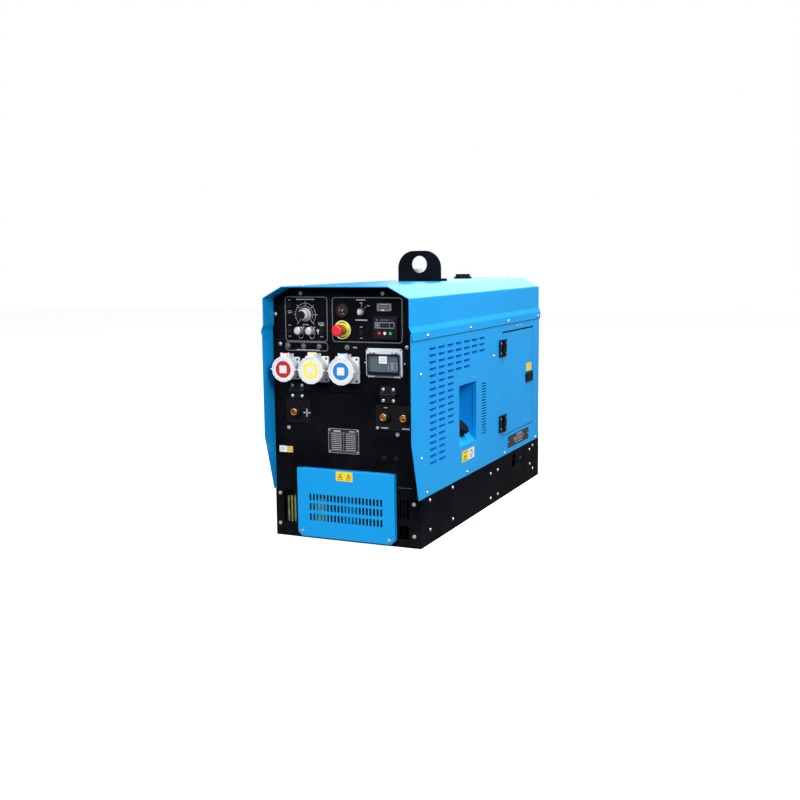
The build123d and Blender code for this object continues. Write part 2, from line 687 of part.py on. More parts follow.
def socket_base(x, side, lid_r):
    flange_front = FRONT_FACE - SOCKET_FLANGE
    flange = frontal(RectangleRounded(side, side, 5), flange_front, SOCKET_FLANGE)
    flange = Pos(x, 0, SOCKET_Z) * softened(flange, -Axis.Y)
    collar = rod_y(x, SOCKET_Z, lid_r - 4, SOCKET_FRONT, flange_front)
    well = rod_y(x, SOCKET_Z, lid_r - 10, SOCKET_FRONT - 1, FRONT_FACE - 2)
    rear = rod_y(x, SOCKET_Z, 30, FRONT_FACE - 2, FRONT_FACE + 52)
    axis_z = SOCKET_Z + lid_r + LID_HINGE_RISE
    base = flange + collar + rear
    for sign in (-1, 1):
        ear = sorted((x + sign * 12, x + sign * 17))
        base += block(*ear, LID_HINGE_Y - 3, flange_front, SOCKET_Z + lid_r - 9, axis_z)
        base += rod_x(LID_HINGE_Y, axis_z, 4.0, *ear)
    base -= well
    return base + rod_x(LID_HINGE_Y, axis_z, 1.8, x - 16, x + 16)


def socket_bases():
    save("socket_bases", *[socket_base(x, side, lid_r) for _, x, side, lid_r in SOCKETS])


def socket_lid(x, lid_r):
    back = SOCKET_FRONT - LID_GAP
    axis_z = SOCKET_Z + lid_r + LID_HINGE_RISE
    plate = rod_y(x, SOCKET_Z, lid_r - 1, back - 3, back)
    hub = softened(rod_y(x, SOCKET_Z, lid_r - 7, back - LID_THICK, back - 3), -Axis.Y)
    arm = block(x - 11.5, x + 11.5, back - 3, back, SOCKET_Z + lid_r - 8, axis_z - 2)
    knuckle = rod_x(LID_HINGE_Y, axis_z, 4.0, x - 11.5, x + 11.5)
    bridge = block(x - 11.5, x + 11.5, back - 1, LID_HINGE_Y, axis_z - 3.5, axis_z + 2)
    lid = plate + hub + arm + bridge + knuckle
    return lid - rod_x(LID_HINGE_Y, axis_z, 1.8 + BEARING_GAP, x - 13, x + 13)


def bayonet_ring(x, lid_r):
    back = SOCKET_FRONT - LID_GAP - 3.4
    rim = softened(frontal(RegularPolygon(lid_r, 14), back - LID_THICK + 2, LID_THICK - 2), -Axis.Y)
    ring = Pos(x, 0, SOCKET_Z) * (rim - rod_y(0, 0, lid_r - 6.6, back - LID_THICK, back))
    for sign in (-1, 1):
        lug = sorted((x + sign * (lid_r - 4), x + sign * (lid_r + 4.5)))
        ring += block(*lug, back - 8.5, back, SOCKET_Z - 2.2, SOCKET_Z + 2.2)
    return ring


def socket_lids():
    for name, x, _, lid_r in SOCKETS:
        save(f"{name}_socket_lid", socket_lid(x, lid_r))
        save(f"{name}_lid_ring", bayonet_ring(x, lid_r))


# ---------------------------------------------------------------- circuit breaker


def breaker_frame():
    x, z, width, height = BREAKER_FRAME
    plate = frontal(RectangleRounded(width, height, 9), FRONT_FACE - 8, 8)
    cut = Pos(WINDOW[0] - x, 0, WINDOW[1] - z) * frontal(Rectangle(109.4, 58), FRONT_FACE - 9, 10)
    frame = Pos(x, 0, z) * (softened(plate, -Axis.Y) - cut)
    y, axis_z = WINDOW_HINGE_Y, WINDOW_HINGE_Z
    for knuckle_x in (WINDOW[0] - 40, WINDOW[0] + 40):
        frame += block(knuckle_x - 4, knuckle_x + 4, y, FRONT_FACE - 8, axis_z - 3, axis_z + 3)
        frame += rod_x(y, axis_z, 3.0, knuckle_x - 4, knuckle_x + 4)
        frame += rod_x(y, axis_z, 1.5, knuckle_x - 12, knuckle_x + 12)
    return frame


def breaker_body():
    x, z = WINDOW[0], WINDOW[1]
    body = block(x - 53, x + 53, FRONT_FACE + 3.5, FRONT_FACE + 58, z - 40, z + 40)
    body += block(x - 53, x + 53, FRONT_FACE - 4, FRONT_FACE + 6, z - 24.5, z + 24.5)
    slot_z = (LEVER_Z - 8, LEVER_Z + 12)
    for lever_x in LEVER_X:
        body -= block(lever_x - 3.4, lever_x + 3.4, FRONT_FACE - 5, FRONT_FACE + 8, *slot_z)
    return body - block(LEVER_X[0] - 1, LEVER_X[1] + 1, FRONT_FACE + 1, FRONT_FACE + 8, *slot_z)


def breaker_lever():
    pivot_y = FRONT_FACE + 4.5
    lever = rod_x(pivot_y, LEVER_Z + 2, 1.6, LEVER_X[0] - 2.8, LEVER_X[1] + 2.8)
    for x in LEVER_X:
        lever += block(x - 2.8, x + 2.8, FRONT_FACE - 6.5, pivot_y, LEVER_Z - 1.5, LEVER_Z + 1.7)
    save("breaker_lever", lever)


def breaker_window():
    x, z, width, height = WINDOW
    y0 = FRONT_FACE - 16
    x0, x1 = x - width / 2, x + width / 2
    z0, z1 = z - height / 2, z + height / 2
    shell = softened(block(x0, x1, y0, FRONT_FACE - 8.4, z0, z1), -Axis.Y)
    shell -= block(x0 + 2, x1 - 2, y0 + 2, FRONT_FACE - 8, z0 + 2, z1 - 2)
    for knuckle_x in (x - 40, x + 40):
        shell -= block(knuckle_x - 4.6, knuckle_x + 4.6, y0 - 1, FRONT_FACE, z1 - 1.9, z1 + 1)
        for sign in (-1, 1):
            ear = sorted((knuckle_x + sign * 4.6, knuckle_x + sign * 9))
            shell += block(*ear, WINDOW_HINGE_Y - 1, WINDOW_HINGE_Y + 2, z1 - 1, WINDOW_HINGE_Z)
            shell += rod_x(WINDOW_HINGE_Y, WINDOW_HINGE_Z, 3.0, *ear)
        pin_space = (knuckle_x - 13, knuckle_x + 13)
        shell -= rod_x(WINDOW_HINGE_Y, WINDOW_HINGE_Z, 1.5 + BEARING_GAP, *pin_space)
    save("breaker_window", shell)


def breaker_unit():
    save("breaker_unit", breaker_frame(), breaker_body())


# ---------------------------------------------------------------- lower panel fittings


def weld_socket_plates():
    solids = []
    front = FRONT_FACE - PLATE_THICK
    for plate in (PLATE_LEFT, PLATE_RIGHT):
        x0, x1, z0, z1 = plate
        inside = [at for at in WELD_SOCKETS if x0 < at[0] < x1]
        solid = softened(frontal(rect(*plate), front, PLATE_THICK), -Axis.Y)
        for x, z in inside:
            solid += softened(rod_y(x, z, 20, FRONT_FACE - 17, front), -Axis.Y, 3)
            solid -= rod_y(x, z, 12.6, FRONT_FACE - 18, FRONT_FACE)
        solids.append(solid)
    save("weld_socket_plates", *solids)


def weld_socket_inserts():
    solids = []
    for x, z in WELD_SOCKETS:
        insert = softened(rod_y(x, z, 12.5, WELD_FRONT, FRONT_FACE + 30), -Axis.Y)
        insert -= rod_y(x, z, WELD_BORE_R, WELD_FRONT - 1, WELD_FRONT + WELD_BORE_DEPTH)
        solids.append(insert + rod_y(x, z, 6, FRONT_FACE + 30, FRONT_FACE + 46))
    save("weld_socket_inserts", *solids)


def grille_cover():
    x0, x1 = GRILLE_X
    z0, z1 = GRILLE_Z
    face = polygon([(x0 + 15, z0), (x1 - 15, z0), (x1, z0 + 15), (x1, z1), (x0, z1), (x0, z0 + 15)])
    front = FRONT_FACE - GRILLE_STAND
    tray = softened(frontal(face, front, GRILLE_STAND), -Axis.Y, 3)
    tray -= frontal(offset(face, -SHEET, kind=Kind.INTERSECTION), front + SHEET, GRILLE_STAND)
    slots = Sketch()
    for low, high in SLOT_ROWS:
        slot = Rot(0, 0, 90) * SlotOverall(high - low, 8)
        middle = (low + high) / 2
        slots += [Pos(SLOT_FIRST_X + i * SLOT_PITCH, middle) * slot for i in range(SLOT_COUNT)]
    tray -= frontal(slots, front - 1, SHEET + 2)
    for x, z in GRILLE_SCREWS:
        tray -= rod_y(x, z, HOLE_R, front - 1, front + 5)
    save("grille_cover", tray)


# ---------------------------------------------------------------- engine and generator


def neck_axis():
    """Plane at the filler cap's middle, facing out of the niche along the neck."""
    return Plane(origin=CAP_CENTRE, z_dir=(1, 0, 1), x_dir=(0, 1, 0))


def filler_neck():
    cx, cy, cz = CAP_CENTRE
    step = math.sqrt(0.5)
    mouth = (cx - 4 * step, cy, cz - 4 * step)
    knee_x = NECK_X
    knee = (knee_x, cy, cz - (cx - knee_x))
    path = FilletPolyline(mouth, knee, (knee_x, cy, 150.0), radius=45)
    start = Plane(origin=path @ 0, z_dir=path % 0)
    tube = sweep(start * Circle(22.0), path=path)
    bore = sweep(start * Circle(18.5), path=path)
    flange = neck_axis().location * Pos(0, 0, -21.5) * Cylinder(32, 5)
    save("filler_neck", tube + flange - bore)


def fuel_cap():
    at = neck_axis().location
    cap = Cylinder(33, 12)
    cap = fillet(cap.edges().group_by(Axis.Z)[-1], 3) - Pos(0, 0, -4) * Cylinder(22.1, 8)
    for step in range(10):
        turn = math.radians(step * 36)
        cap -= Pos(34.5 * math.cos(turn), 34.5 * math.sin(turn), 0) * Cylinder(4.0, 14)
    save("fuel_cap", at * cap)


def fuel_tank():
    tank = block(-215, 215, -345, 60, BASE_WALL, 150)
    tank = fillet(tank.edges().filter_by(Axis.Z), 25)
    inner = block(-209, 209, -339, 54, BASE_WALL + 6, 144)
    tank -= inner
    save("fuel_tank", tank - rod_z(NECK_X, CAP_CENTRE[1], 18.5, 140, 151))


def rubber_mounts():
    solids = []
    low, high = BEAM_TOP + 12, MOUNT_TOP - 12
    for y in MOUNT_Y:
        for x in (-MOUNT_X, MOUNT_X):
            waist = rod_z(x, y, 30, low, high) - rod_z(x, y, 22, low, high)
            solids.append(rod_z(x, y, FOOT_HALF, BEAM_TOP, MOUNT_TOP) - waist)
    save("rubber_mounts", *solids)


def mounting_foot(sign, x_face, y, top):
    """An angle bracket between a casting's side face and its rubber mount."""
    plate = block(x_face, MOUNT_X + 30, y - FOOT_HALF, y + FOOT_HALF, MOUNT_TOP, MOUNT_TOP + FOOT_THICK)
    plate += block(x_face, x_face + FOOT_THICK, y - FOOT_HALF, y + FOOT_HALF, MOUNT_TOP, top)
    return plate if sign > 0 else mirrored(plate)


def engine_case():
    """The crankcase: a hollow casting with bearing webs, and three cylinders in a water jacket."""
    y0, y1 = ENGINE_Y
    half, wall = ENGINE_HALF, CASTING
    low, high = CASE_Z
    sump_half = half - 15
    inner = half - wall
    case = block(-half, half, y0, y1, low, high)
    case += block(-sump_half, sump_half, y0 + 10, y1 - 10, SUMP_LOW, low)
    case -= block(-inner, inner, y0 + 35, y1 - 35, low + wall, 430)
    case -= block(-sump_half + 4, sump_half - 4, y0 + 35, y1 - 35, SUMP_LOW + 4, low + wall)
    jacket = block(-inner, inner, y0 + wall, y1 - wall, 445, high - wall)
    for y in BORE_Y:
        jacket -= rod_z(0, y, BORE_R + 7, 445, high - wall)
    case -= jacket
    for y in (150, 250):
        case += block(-inner, inner, y - 15, y + 15, low, 430)
    case += block(-60, 60, y1, y1 + 22, 300, 560)
    case -= rod_y(0, CRANK_Z, CRANK_R + BEARING_GAP, y0 - 1, y1 + 40)
    case -= rod_y(0, FAN_Z, BARREL_R * 2 + BEARING_GAP, y1 - 40, y1 + 40)
    for y in BORE_Y:
        case -= rod_z(0, y, BORE_R, 429, high + 1)
    return case


def engine_block():
    y0, y1 = ENGINE_Y
    half = ENGINE_HALF
    high = CASE_Z[1]
    head = block(-half + 15, half - 15, y0 + 5, y1 - 5, high, 665)
    head -= block(-half + 27, half - 27, y0 + 17, y1 - 17, high + 15, 655)
    cover = fillet(block(-80, 60, y0 + 20, y1 - 20, 665, 715).edges().group_by(Axis.Z)[-1], 12)
    cover -= block(-76, 56, y0 + 24, y1 - 24, 666, 703)
    feet = [mounting_foot(sign, half, MOUNT_Y[1], 330) for sign in (-1, 1)]
    save("engine_block", engine_case(), head + cover, *feet)


def crankshaft():
    y0, y1 = ENGINE_Y
    shaft = rod_y(0, CRANK_Z, CRANK_R, y0 - 15, y0 + 36)
    shaft += rod_y(0, CRANK_Z, CRANK_R, y1 - 36, PULLEY_Y[0])
    for index, y in enumerate(BORE_Y):
        turn = math.radians(90 + index * 120)
        throw_x, throw_z = THROW * math.cos(turn), CRANK_Z + THROW * math.sin(turn)
        shaft += rod_y(throw_x, throw_z, 22, y - 24, y + 24)
        for side in (-32, 20):
            shaft += rod_y(0, CRANK_Z, 60, y + side, y + side + 12)
    for y in ((35, 70), (130, 170), (230, 270), (330, 365)):
        shaft += rod_y(0, CRANK_Z, CRANK_R, *y)
    wheel = rod_y(0, CRANK_Z, 145, y0 - 45, y0 - 15)
    save("crankshaft", shaft + grooved_pulley(CRANK_Z, CRANK_PULLEY_R) + wheel)


def grooved_pulley(z, radius):
    """A belt pulley on the engine's front, with its groove cut down to the radius."""
    low, high = PULLEY_Y
    groove = rod_y(0, z, radius + 7, low + 3, high - 3) - rod_y(0, z, radius, low, high)
    return rod_y(0, z, radius + 6, low, high) - groove


def alternator_rotor():
    y0, y1 = STATOR_Y
    core = rod_y(0, CRANK_Z, 98, y0 + 70, y1 - 70)
    for step in range(4):
        turn = math.radians(45 + step * 90)
        core -= rod_y(110 * math.cos(turn), CRANK_Z + 110 * math.sin(turn), 34, y0 + 60, y1 - 60)
    shaft = rod_y(0, CRANK_Z, SHAFT_R, y0 - 5, ENGINE_Y[0] - 45)
    blower = rod_y(0, CRANK_Z, 120, y1 - 40, y1 - 30)
    save("alternator_rotor", core + shaft + blower)


def alternator_housing():
    y0, y1 = STATOR_Y
    barrel = rod_y(0, CRANK_Z, HOUSING_R, y0, y1) - rod_y(0, CRANK_Z, STATOR_R, y0 + CASTING, y1 + 1)
    barrel -= rod_y(0, CRANK_Z, SHAFT_R + BEARING_GAP, y0 - 1, y0 + CASTING + 1)
    for step in range(6):
        turn = math.radians(30 + step * 60)
        barrel -= rod_y(95 * math.cos(turn), CRANK_Z + 95 * math.sin(turn), 26, y0 - 1, y0 + CASTING + 1)
    bell = rod_y(0, CRANK_Z, 172, y1, ENGINE_Y[0]) - rod_y(0, CRANK_Z, 160, y1 - 1, ENGINE_Y[0] + 1)
    stator = rod_y(0, CRANK_Z, STATOR_R, y0 + 60, y1 - 60) - rod_y(0, CRANK_Z, 99, y0 + 50, y1 - 50)
    feet = [mounting_foot(sign, 92, MOUNT_Y[0], 300) for sign in (-1, 1)]
    feet = [foot - rod_y(0, CRANK_Z, HOUSING_R, y0, y1) for foot in feet]
    save("alternator_housing", barrel, bell, stator, *feet)


def cooling_fan():
    high = PULLEY_Y[1]
    fan = rod_y(0, FAN_Z, BARREL_R * 2, ENGINE_Y[1] - 20, PULLEY_Y[0]) + grooved_pulley(FAN_Z, FAN_PULLEY_R)
    fan += rod_y(0, FAN_Z, 38, high, high + 50)
    blade = block(30, FAN_R, -2, 2, -34, 34)
    for step in range(FAN_BLADES):
        spin = Rot(0, step * 360 / FAN_BLADES, 0)
        fan += Pos(0, high + 30, FAN_Z) * spin * Rot(32, 0, 0) * blade
    save("cooling_fan", fan)


def radiator():
    half = RADIATOR_HALF
    core = block(-half, half, 548, 592, 262, 700)
    pitch = 2 * half / RADIATOR_TUBES
    for row in range(RADIATOR_TUBES):
        left = -half + (row + 0.22) * pitch
        core -= block(left, left + 0.56 * pitch, 547, 593, 266, 696)
    tanks = fillet(block(-half, half, 542, 598, 700, 742).edges().group_by(Axis.Z)[-1], 10)
    tanks += block(-half, half, 542, 598, 225, 262)
    neck = rod_z(ROOF_CAP_AT[0], 570, 16, 741, 756) + rod_z(ROOF_CAP_AT[0], 570, 22, 756, 766)
    shroud = block(-half, half, 508, 541, 310, 725) - rod_y(0, FAN_Z, FAN_R + 12, 500, 550)
    shroud -= block(-half + 4, half - 4, 512, 542, 314, 721)
    stand = block(-245, 245, 545, 595, BASE_HEIGHT, BASE_HEIGHT + 4)
    for x0, x1 in ((-half, -half + 50), (half - 50, half)):
        stand += block(x0, x1, 545, 595, BASE_HEIGHT, 225)
    save("radiator", core + tanks + neck, shroud, stand)


def muffler():
    x, z = MUFFLER_AT
    can = rod_y(x, z, 48, 90, 410)
    route = [(x, 400, z), (x, 470, z), (*OUTLET_AT, z + 36), (*OUTLET_AT, ROOF_TOP - 12)]
    path = FilletPolyline(*route, radius=34)
    tail = sweep(Plane(origin=path @ 0, z_dir=path % 0) * Circle(21), path=path)
    tail -= rod_z(*OUTLET_AT, 18.5, 810, 860)
    inlet = rod_z(x, 200, 22, 640, z)
    log = block(ENGINE_HALF - 15, x + 22, 60, 340, 612, 652)
    save("muffler", can + tail + inlet + log)


def air_filter():
    can = rod_y(-185, 700, 58, 70, 270)
    elbow = block(-150, -105, 150, 190, 615, 655)
    neck = block(-160, -128, 152, 188, 640, 690)
    save("air_filter", can + elbow + neck)


def battery():
    case = fillet(block(20, 205, -640, -480, BASE_WALL, 190).edges().filter_by(Axis.Z), 5)
    posts = [rod_z(x, -520, 9, 190, 206) for x in (50, 175)]
    save("battery", case + posts)


def weld_reactor():
    """A closed lamination frame with a coil on each leg."""
    core = block(-242, -128, -600, -540, BASE_WALL, 175) - block(-214, -156, -601, -539, 34, 145)
    coil = block(-246, -184, -645, -495, 44, 135) - block(-242.5, -211.5, -602, -538, 43, 136)
    save("weld_reactor", core, coil, Pos(86, 0, 0) * coil)


def rectifier_box():
    """A sheet metal case, open at the back, round the fins of the rectifier's heat sink."""
    case = block(-210, 215, -610, -480, 245, 480) - block(-207, 212, -607, -479, 248, 477)
    for column in range(9):
        left = -190 + column * 46
        case += block(left, left + 4, -600, -490, 247, 465)
    save("rectifier_box", case + block(-245, 245, -560, -530, 235, 245))


def roof_cap():
    x, y = ROOF_CAP_AT
    cap = rod_z(x, y, 38, ROOF_TOP + 0.4, ROOF_TOP + 8) + rod_z(x, y, 31, ROOF_TOP + 8, ROOF_TOP + 19)
    save("roof_cap", cap + rod_z(x, y, 32.4, ROOF_TOP - 10, ROOF_TOP + 1))


BUILDERS = (
    base_frame, side_panels, roof_cover, rear_panel, filler_niche, lifting_eye, casing_screws,
    side_door, latch_paddle, door_fittings, fixed_hinge_leaves, panel_hardware, lower_front_panel,
    control_panel, instrument_bodies, rockers, current_knob, key_rotor, estop_head, controller_buttons,
    remote_sockets, remote_caps, cap_chains, socket_bases, socket_lids, breaker_unit, breaker_lever,
    breaker_window, weld_socket_plates, weld_socket_inserts, grille_cover, filler_neck, fuel_cap,
    fuel_tank, rubber_mounts, engine_block, crankshaft, alternator_rotor, alternator_housing,
    cooling_fan, radiator, muffler, air_filter, battery, weld_reactor, rectifier_box, roof_cap,
)

for build in BUILDERS:
    build()
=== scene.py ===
"""The looks of the engine driven welder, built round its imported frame. Meshes are drawn in millimetres."""
import bmesh
import bpy
import json
import math
from mathutils import Matrix, Vector


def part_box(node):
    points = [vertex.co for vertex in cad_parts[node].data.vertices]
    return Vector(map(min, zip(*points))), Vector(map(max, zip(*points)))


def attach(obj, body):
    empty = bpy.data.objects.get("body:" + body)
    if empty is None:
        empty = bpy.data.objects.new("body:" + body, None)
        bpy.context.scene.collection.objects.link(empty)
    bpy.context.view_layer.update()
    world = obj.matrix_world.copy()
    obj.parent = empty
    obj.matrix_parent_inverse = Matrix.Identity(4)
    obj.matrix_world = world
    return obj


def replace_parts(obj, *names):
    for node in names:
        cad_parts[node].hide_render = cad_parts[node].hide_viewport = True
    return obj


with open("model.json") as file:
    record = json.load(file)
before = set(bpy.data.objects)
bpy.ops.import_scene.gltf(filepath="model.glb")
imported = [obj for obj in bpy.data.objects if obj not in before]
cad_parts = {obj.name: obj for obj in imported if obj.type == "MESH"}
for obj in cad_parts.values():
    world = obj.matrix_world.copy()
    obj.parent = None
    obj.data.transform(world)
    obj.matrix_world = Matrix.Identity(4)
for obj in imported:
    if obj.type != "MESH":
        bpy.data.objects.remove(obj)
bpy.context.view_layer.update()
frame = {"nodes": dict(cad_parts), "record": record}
MM = 0.001


def box(node):
    """A CAD node's lowest and highest corners, in millimetres."""
    return [[x / MM for x in corner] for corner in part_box(node)]


# Faces that the pieces are set out from
FRONT = box("control_panel")[0][1]
RIGHT = box("right_side_panel")[1][0]
LEFT = box("left_side_panel")[0][0]
ROOF = box("lifting_eye")[0][2]
BASE_SIDE = box("base_frame")[1][0]
GRILLE = box("grille_cover")[0][1]
PLATE_FRONT = FRONT - 5
SOCKET_FLANGE_FRONT = FRONT - 8
# Thicknesses of printing and of stickers
PRINT = 0.12
STICKER = 0.25

# -------- materials

NOISE_MIDDLE = (0.32, 0.68)
DUST_COLOUR = (0.16, 0.15, 0.14, 1)
DUST_TOP = 0.11
materials = {}


def link(tree, a, output, b, socket):
    """Joins an output of node a to a socket of node b."""
    tree.links.new(a.outputs[output], b.inputs[socket])


def node(tree, kind, **values):
    """A new shader node with some inputs set; a space in an input's name is written _."""
    made = tree.nodes.new(kind)
    for key, value in values.items():
        made.inputs[key.replace("_", " ")].default_value = value
    return made


def noise(tree, coordinates, scale, detail=4.0):
    """A noise texture in object coordinates."""
    made = node(tree, "ShaderNodeTexNoise", Scale=scale, Detail=detail)
    link(tree, coordinates, "Object", made, "Vector")
    return made


def spread(tree, source, low, high):
    """A noise's middle range stretched to run from low to high."""
    first, last = NOISE_MIDDLE
    made = node(tree, "ShaderNodeMapRange", From_Min=first, From_Max=last, To_Min=low, To_Max=high)
    link(tree, source, "Fac", made, "Value")
    return made


def dusted(tree, where, paint, dust):
    """The paint with pale dust over it, most at the floor and none above DUST_TOP."""
    height = tree.nodes.new("ShaderNodeSeparateXYZ")
    link(tree, where, "Object", height, "Vector")
    low = node(tree, "ShaderNodeMapRange", From_Min=0.0, From_Max=DUST_TOP, To_Min=dust, To_Max=0.0)
    link(tree, height, "Z", low, "Value")
    cloud = node(tree, "ShaderNodeMath")
    cloud.operation = "MULTIPLY"
    link(tree, low, "Result", cloud, 0)
    link(tree, spread(tree, noise(tree, where, 45.0, 8.0), 0.2, 1), "Result", cloud, 1)
    tint = tree.nodes.new("ShaderNodeMix")
    tint.data_type = "RGBA"
    tint.inputs["B"].default_value = DUST_COLOUR
    link(tree, cloud, "Value", tint, "Factor")
    link(tree, paint, "Result", tint, "A")
    return tint


def material(name, colour, rough, metal=0.0, coat=0.0, mottle=0.06, patch=9.0, grain=900.0, bump=0.05,
             rough_swing=0.04, brushed=None, alpha=1.0, emission=0.0, dust=0.0, specular=0.5):
    """A procedural finish: slow colour patches, fine roughness changes and a small bump."""
    made = bpy.data.materials.new(name)
    made.use_nodes = True
    tree = made.node_tree
    shader = tree.nodes["Principled BSDF"]
    settings = {"Metallic": metal, "Coat Weight": coat, "Coat Roughness": 0.12, "Alpha": alpha,
                "Specular IOR Level": specular, "Emission Strength": emission}
    for key, value in settings.items():
        shader.inputs[key].default_value = value
    shader.inputs["Emission Color"].default_value = (*colour, 1)
    where = tree.nodes.new("ShaderNodeTexCoord")
    slow = noise(tree, where, patch)
    mix = tree.nodes.new("ShaderNodeMix")
    mix.data_type = "RGBA"
    mix.inputs["A"].default_value = (*[c * (1 - mottle) for c in colour], 1)
    mix.inputs["B"].default_value = (*[min(1, c * (1 + mottle) + mottle * 0.01) for c in colour], 1)
    link(tree, spread(tree, slow, 0, 1), "Result", mix, "Factor")
    tint = dusted(tree, where, mix, dust) if dust else mix
    link(tree, tint, "Result", shader, "Base Color")
    fine = noise(tree, where, grain, 3.0)
    if brushed:
        stretch = node(tree, "ShaderNodeMapping", Scale=brushed)
        link(tree, where, "Object", stretch, "Vector")
        link(tree, stretch, "Vector", fine, "Vector")
    swing = spread(tree, fine, max(0.02, rough - rough_swing), rough + rough_swing)
    link(tree, swing, "Result", shader, "Roughness")
    relief = node(tree, "ShaderNodeBump", Strength=bump, Distance=0.0004)
    link(tree, fine, "Fac", relief, "Height")
    link(tree, relief, "Normal", shader, "Normal")
    materials[name] = made


material("blue_paint", (0.006, 0.335, 0.79), 0.34, mottle=0.03, patch=3.0, grain=420.0, bump=0.07,
         specular=0.22)
material("black_paint", (0.0030, 0.0036, 0.0052), 0.4, mottle=0.25, grain=700.0, bump=0.09, dust=0.02,
         specular=0.01)
material("hinge_black", (0.005, 0.005, 0.006), 0.36, mottle=0.2, grain=1500.0, bump=0.12, specular=0.2)
material("zinc_steel", (0.60, 0.64, 0.67), 0.38, metal=0.85, patch=160.0, mottle=0.12)
material("black_plastic", (0.005, 0.005, 0.007), 0.45, mottle=0.15, grain=2200.0, bump=0.2, specular=0.12)
material("neck_rubber", (0.012, 0.012, 0.012), 0.68, mottle=0.3, grain=1400.0, bump=0.3)
material("foam_black", (0.002, 0.002, 0.003), 0.9, mottle=0.3, grain=1400.0, bump=0.3, specular=0.02)
material("brass", (0.80, 0.46, 0.17), 0.24, metal=1.0, patch=120.0, mottle=0.14)
material("nickel", (0.80, 0.77, 0.82), 0.28, metal=0.8, patch=90.0, mottle=0.08, grain=300.0, bump=0.03)
material("white_plastic", (0.76, 0.78, 0.80), 0.3, mottle=0.02, patch=30.0, grain=1800.0, bump=0.06)
material("grey_plastic", (0.42, 0.47, 0.50), 0.4, mottle=0.04, grain=2000.0, bump=0.12)
material("smoked_window", (0.10, 0.16, 0.20), 0.06, alpha=0.28, mottle=0.01, patch=4.0, rough_swing=0.01,
         grain=40.0, bump=0.0)
material("red_plastic", (0.72, 0.018, 0.03), 0.33, mottle=0.05, grain=1800.0, bump=0.08)
material("green_plastic", (0.01, 0.42, 0.13), 0.35, mottle=0.06, grain=1800.0)
material("engine_iron", (0.05, 0.075, 0.07), 0.6, metal=0.3, mottle=0.3, patch=25.0, grain=500.0,
         bump=0.5)
material("machined_steel", (0.42, 0.43, 0.45), 0.34, metal=1.0, mottle=0.15, patch=40.0,
         brushed=(1, 12, 1))
material("housing_aluminium", (0.44, 0.46, 0.48), 0.46, metal=0.9, mottle=0.15, patch=30.0, grain=600.0,
         bump=0.35)
material("coil_copper", (0.44, 0.52, 0.20), 0.4, metal=0.2, mottle=0.25, patch=60.0, brushed=(1, 1, 9),
         bump=0.5)
material("steel_grey", (0.11, 0.12, 0.13), 0.42, metal=0.8, mottle=0.25, patch=40.0)
material("print_white", (0.42, 0.43, 0.46), 0.5, mottle=0.12, patch=300.0)
material("print_bright", (0.86, 0.86, 0.90), 0.45, mottle=0.05, patch=300.0)
material("print_grey", (0.13, 0.127, 0.135), 0.5, mottle=0.15, patch=200.0)
material("label_yellow", (0.90, 0.66, 0.02), 0.35, mottle=0.05, patch=60.0, bump=0.02)
material("label_white", (0.80, 0.80, 0.82), 0.35, mottle=0.04, patch=60.0, bump=0.02)
material("label_gold", (0.75, 0.47, 0.12), 0.35, mottle=0.25, patch=120.0, bump=0.02)
material("label_black", (0.008, 0.008, 0.010), 0.4, mottle=0.2, patch=60.0, bump=0.02, specular=0.2)
material("red_print", (0.46, 0.012, 0.022), 0.4, mottle=0.06, patch=200.0)
material("yellow_plastic", (0.90, 0.78, 0.12), 0.32, mottle=0.04, grain=1800.0)
material("yellow_disc", (0.80, 0.78, 0.03), 0.35, mottle=0.05, patch=200.0)
material("blue_disc", (0.01, 0.21, 0.56), 0.33, mottle=0.05, grain=1800.0)
material("meter_grey", (0.16, 0.16, 0.19), 0.4, mottle=0.08, grain=1800.0)
material("controller_case", (0.004, 0.005, 0.009), 0.42, mottle=0.1, grain=1800.0, bump=0.15,
         specular=0.15)
# Darker than blue_paint: painted shade for the insides of the louvres' scoops, which are the casing's own
# blue.
material("louver_painted_shade", (0.003, 0.13, 0.50), 0.4, mottle=0.04, patch=3.0, grain=420.0, bump=0.07,
         specular=0.1)
material("cap_silver", (0.60, 0.55, 0.59), 0.35, metal=0.1, mottle=0.05, patch=90.0, bump=0.03)
material("side_plate", (0.018, 0.027, 0.042), 0.4, mottle=0.12, patch=60.0, bump=0.03)
material("lilac_bezel", (0.16, 0.16, 0.24), 0.4, mottle=0.06, grain=1800.0)
material("dark_glass", (0.008, 0.018, 0.018), 0.1, mottle=0.15, patch=120.0, rough_swing=0.03, bump=0.01)
material("lamp_glass", (0.07, 0.09, 0.12), 0.12, coat=0.6, mottle=0.2, patch=260.0, rough_swing=0.03,
         bump=0.03)
material("breaker_face", (0.15, 0.22, 0.27), 0.42, mottle=0.05, grain=1800.0, bump=0.1)
material("frame_light", (0.62, 0.67, 0.72), 0.36, mottle=0.04, grain=1800.0, bump=0.08)
material("olive_metal", (0.30, 0.31, 0.12), 0.34, metal=0.7, mottle=0.15, patch=200.0)
material("engraved_plate", (0.014, 0.016, 0.021), 0.4, metal=0.2, mottle=0.2, patch=90.0,
         brushed=(30, 1, 1), bump=0.15)

slot_of = {row["node"]: row["material_slot"] for row in frame["record"]["subparts"]}
NODE_LOOK = {"fuel_tank": "black_plastic", "radiator": "steel_grey", "remote_sockets": "steel_grey",
             "breaker_unit": "frame_light"}

for name, cad in frame["nodes"].items():
    cad.data.materials.clear()
    cad.data.materials.append(materials[NODE_LOOK.get(name, slot_of[name])])

# -------- drawing planes and outlines


def facing(axes, origin):
    """A drawing plane: its u, v and outward w directions, and its origin."""
    u, v, w = (Vector(a) for a in axes)
    return Matrix.Translation(origin) @ Matrix((u, v, w)).transposed().to_4x4()


def front(y):
    """A plane that faces the front, u to the right and v up."""
    return facing(((1, 0, 0), (0, 0, 1), (0, -1, 0)), (0, y, 0))


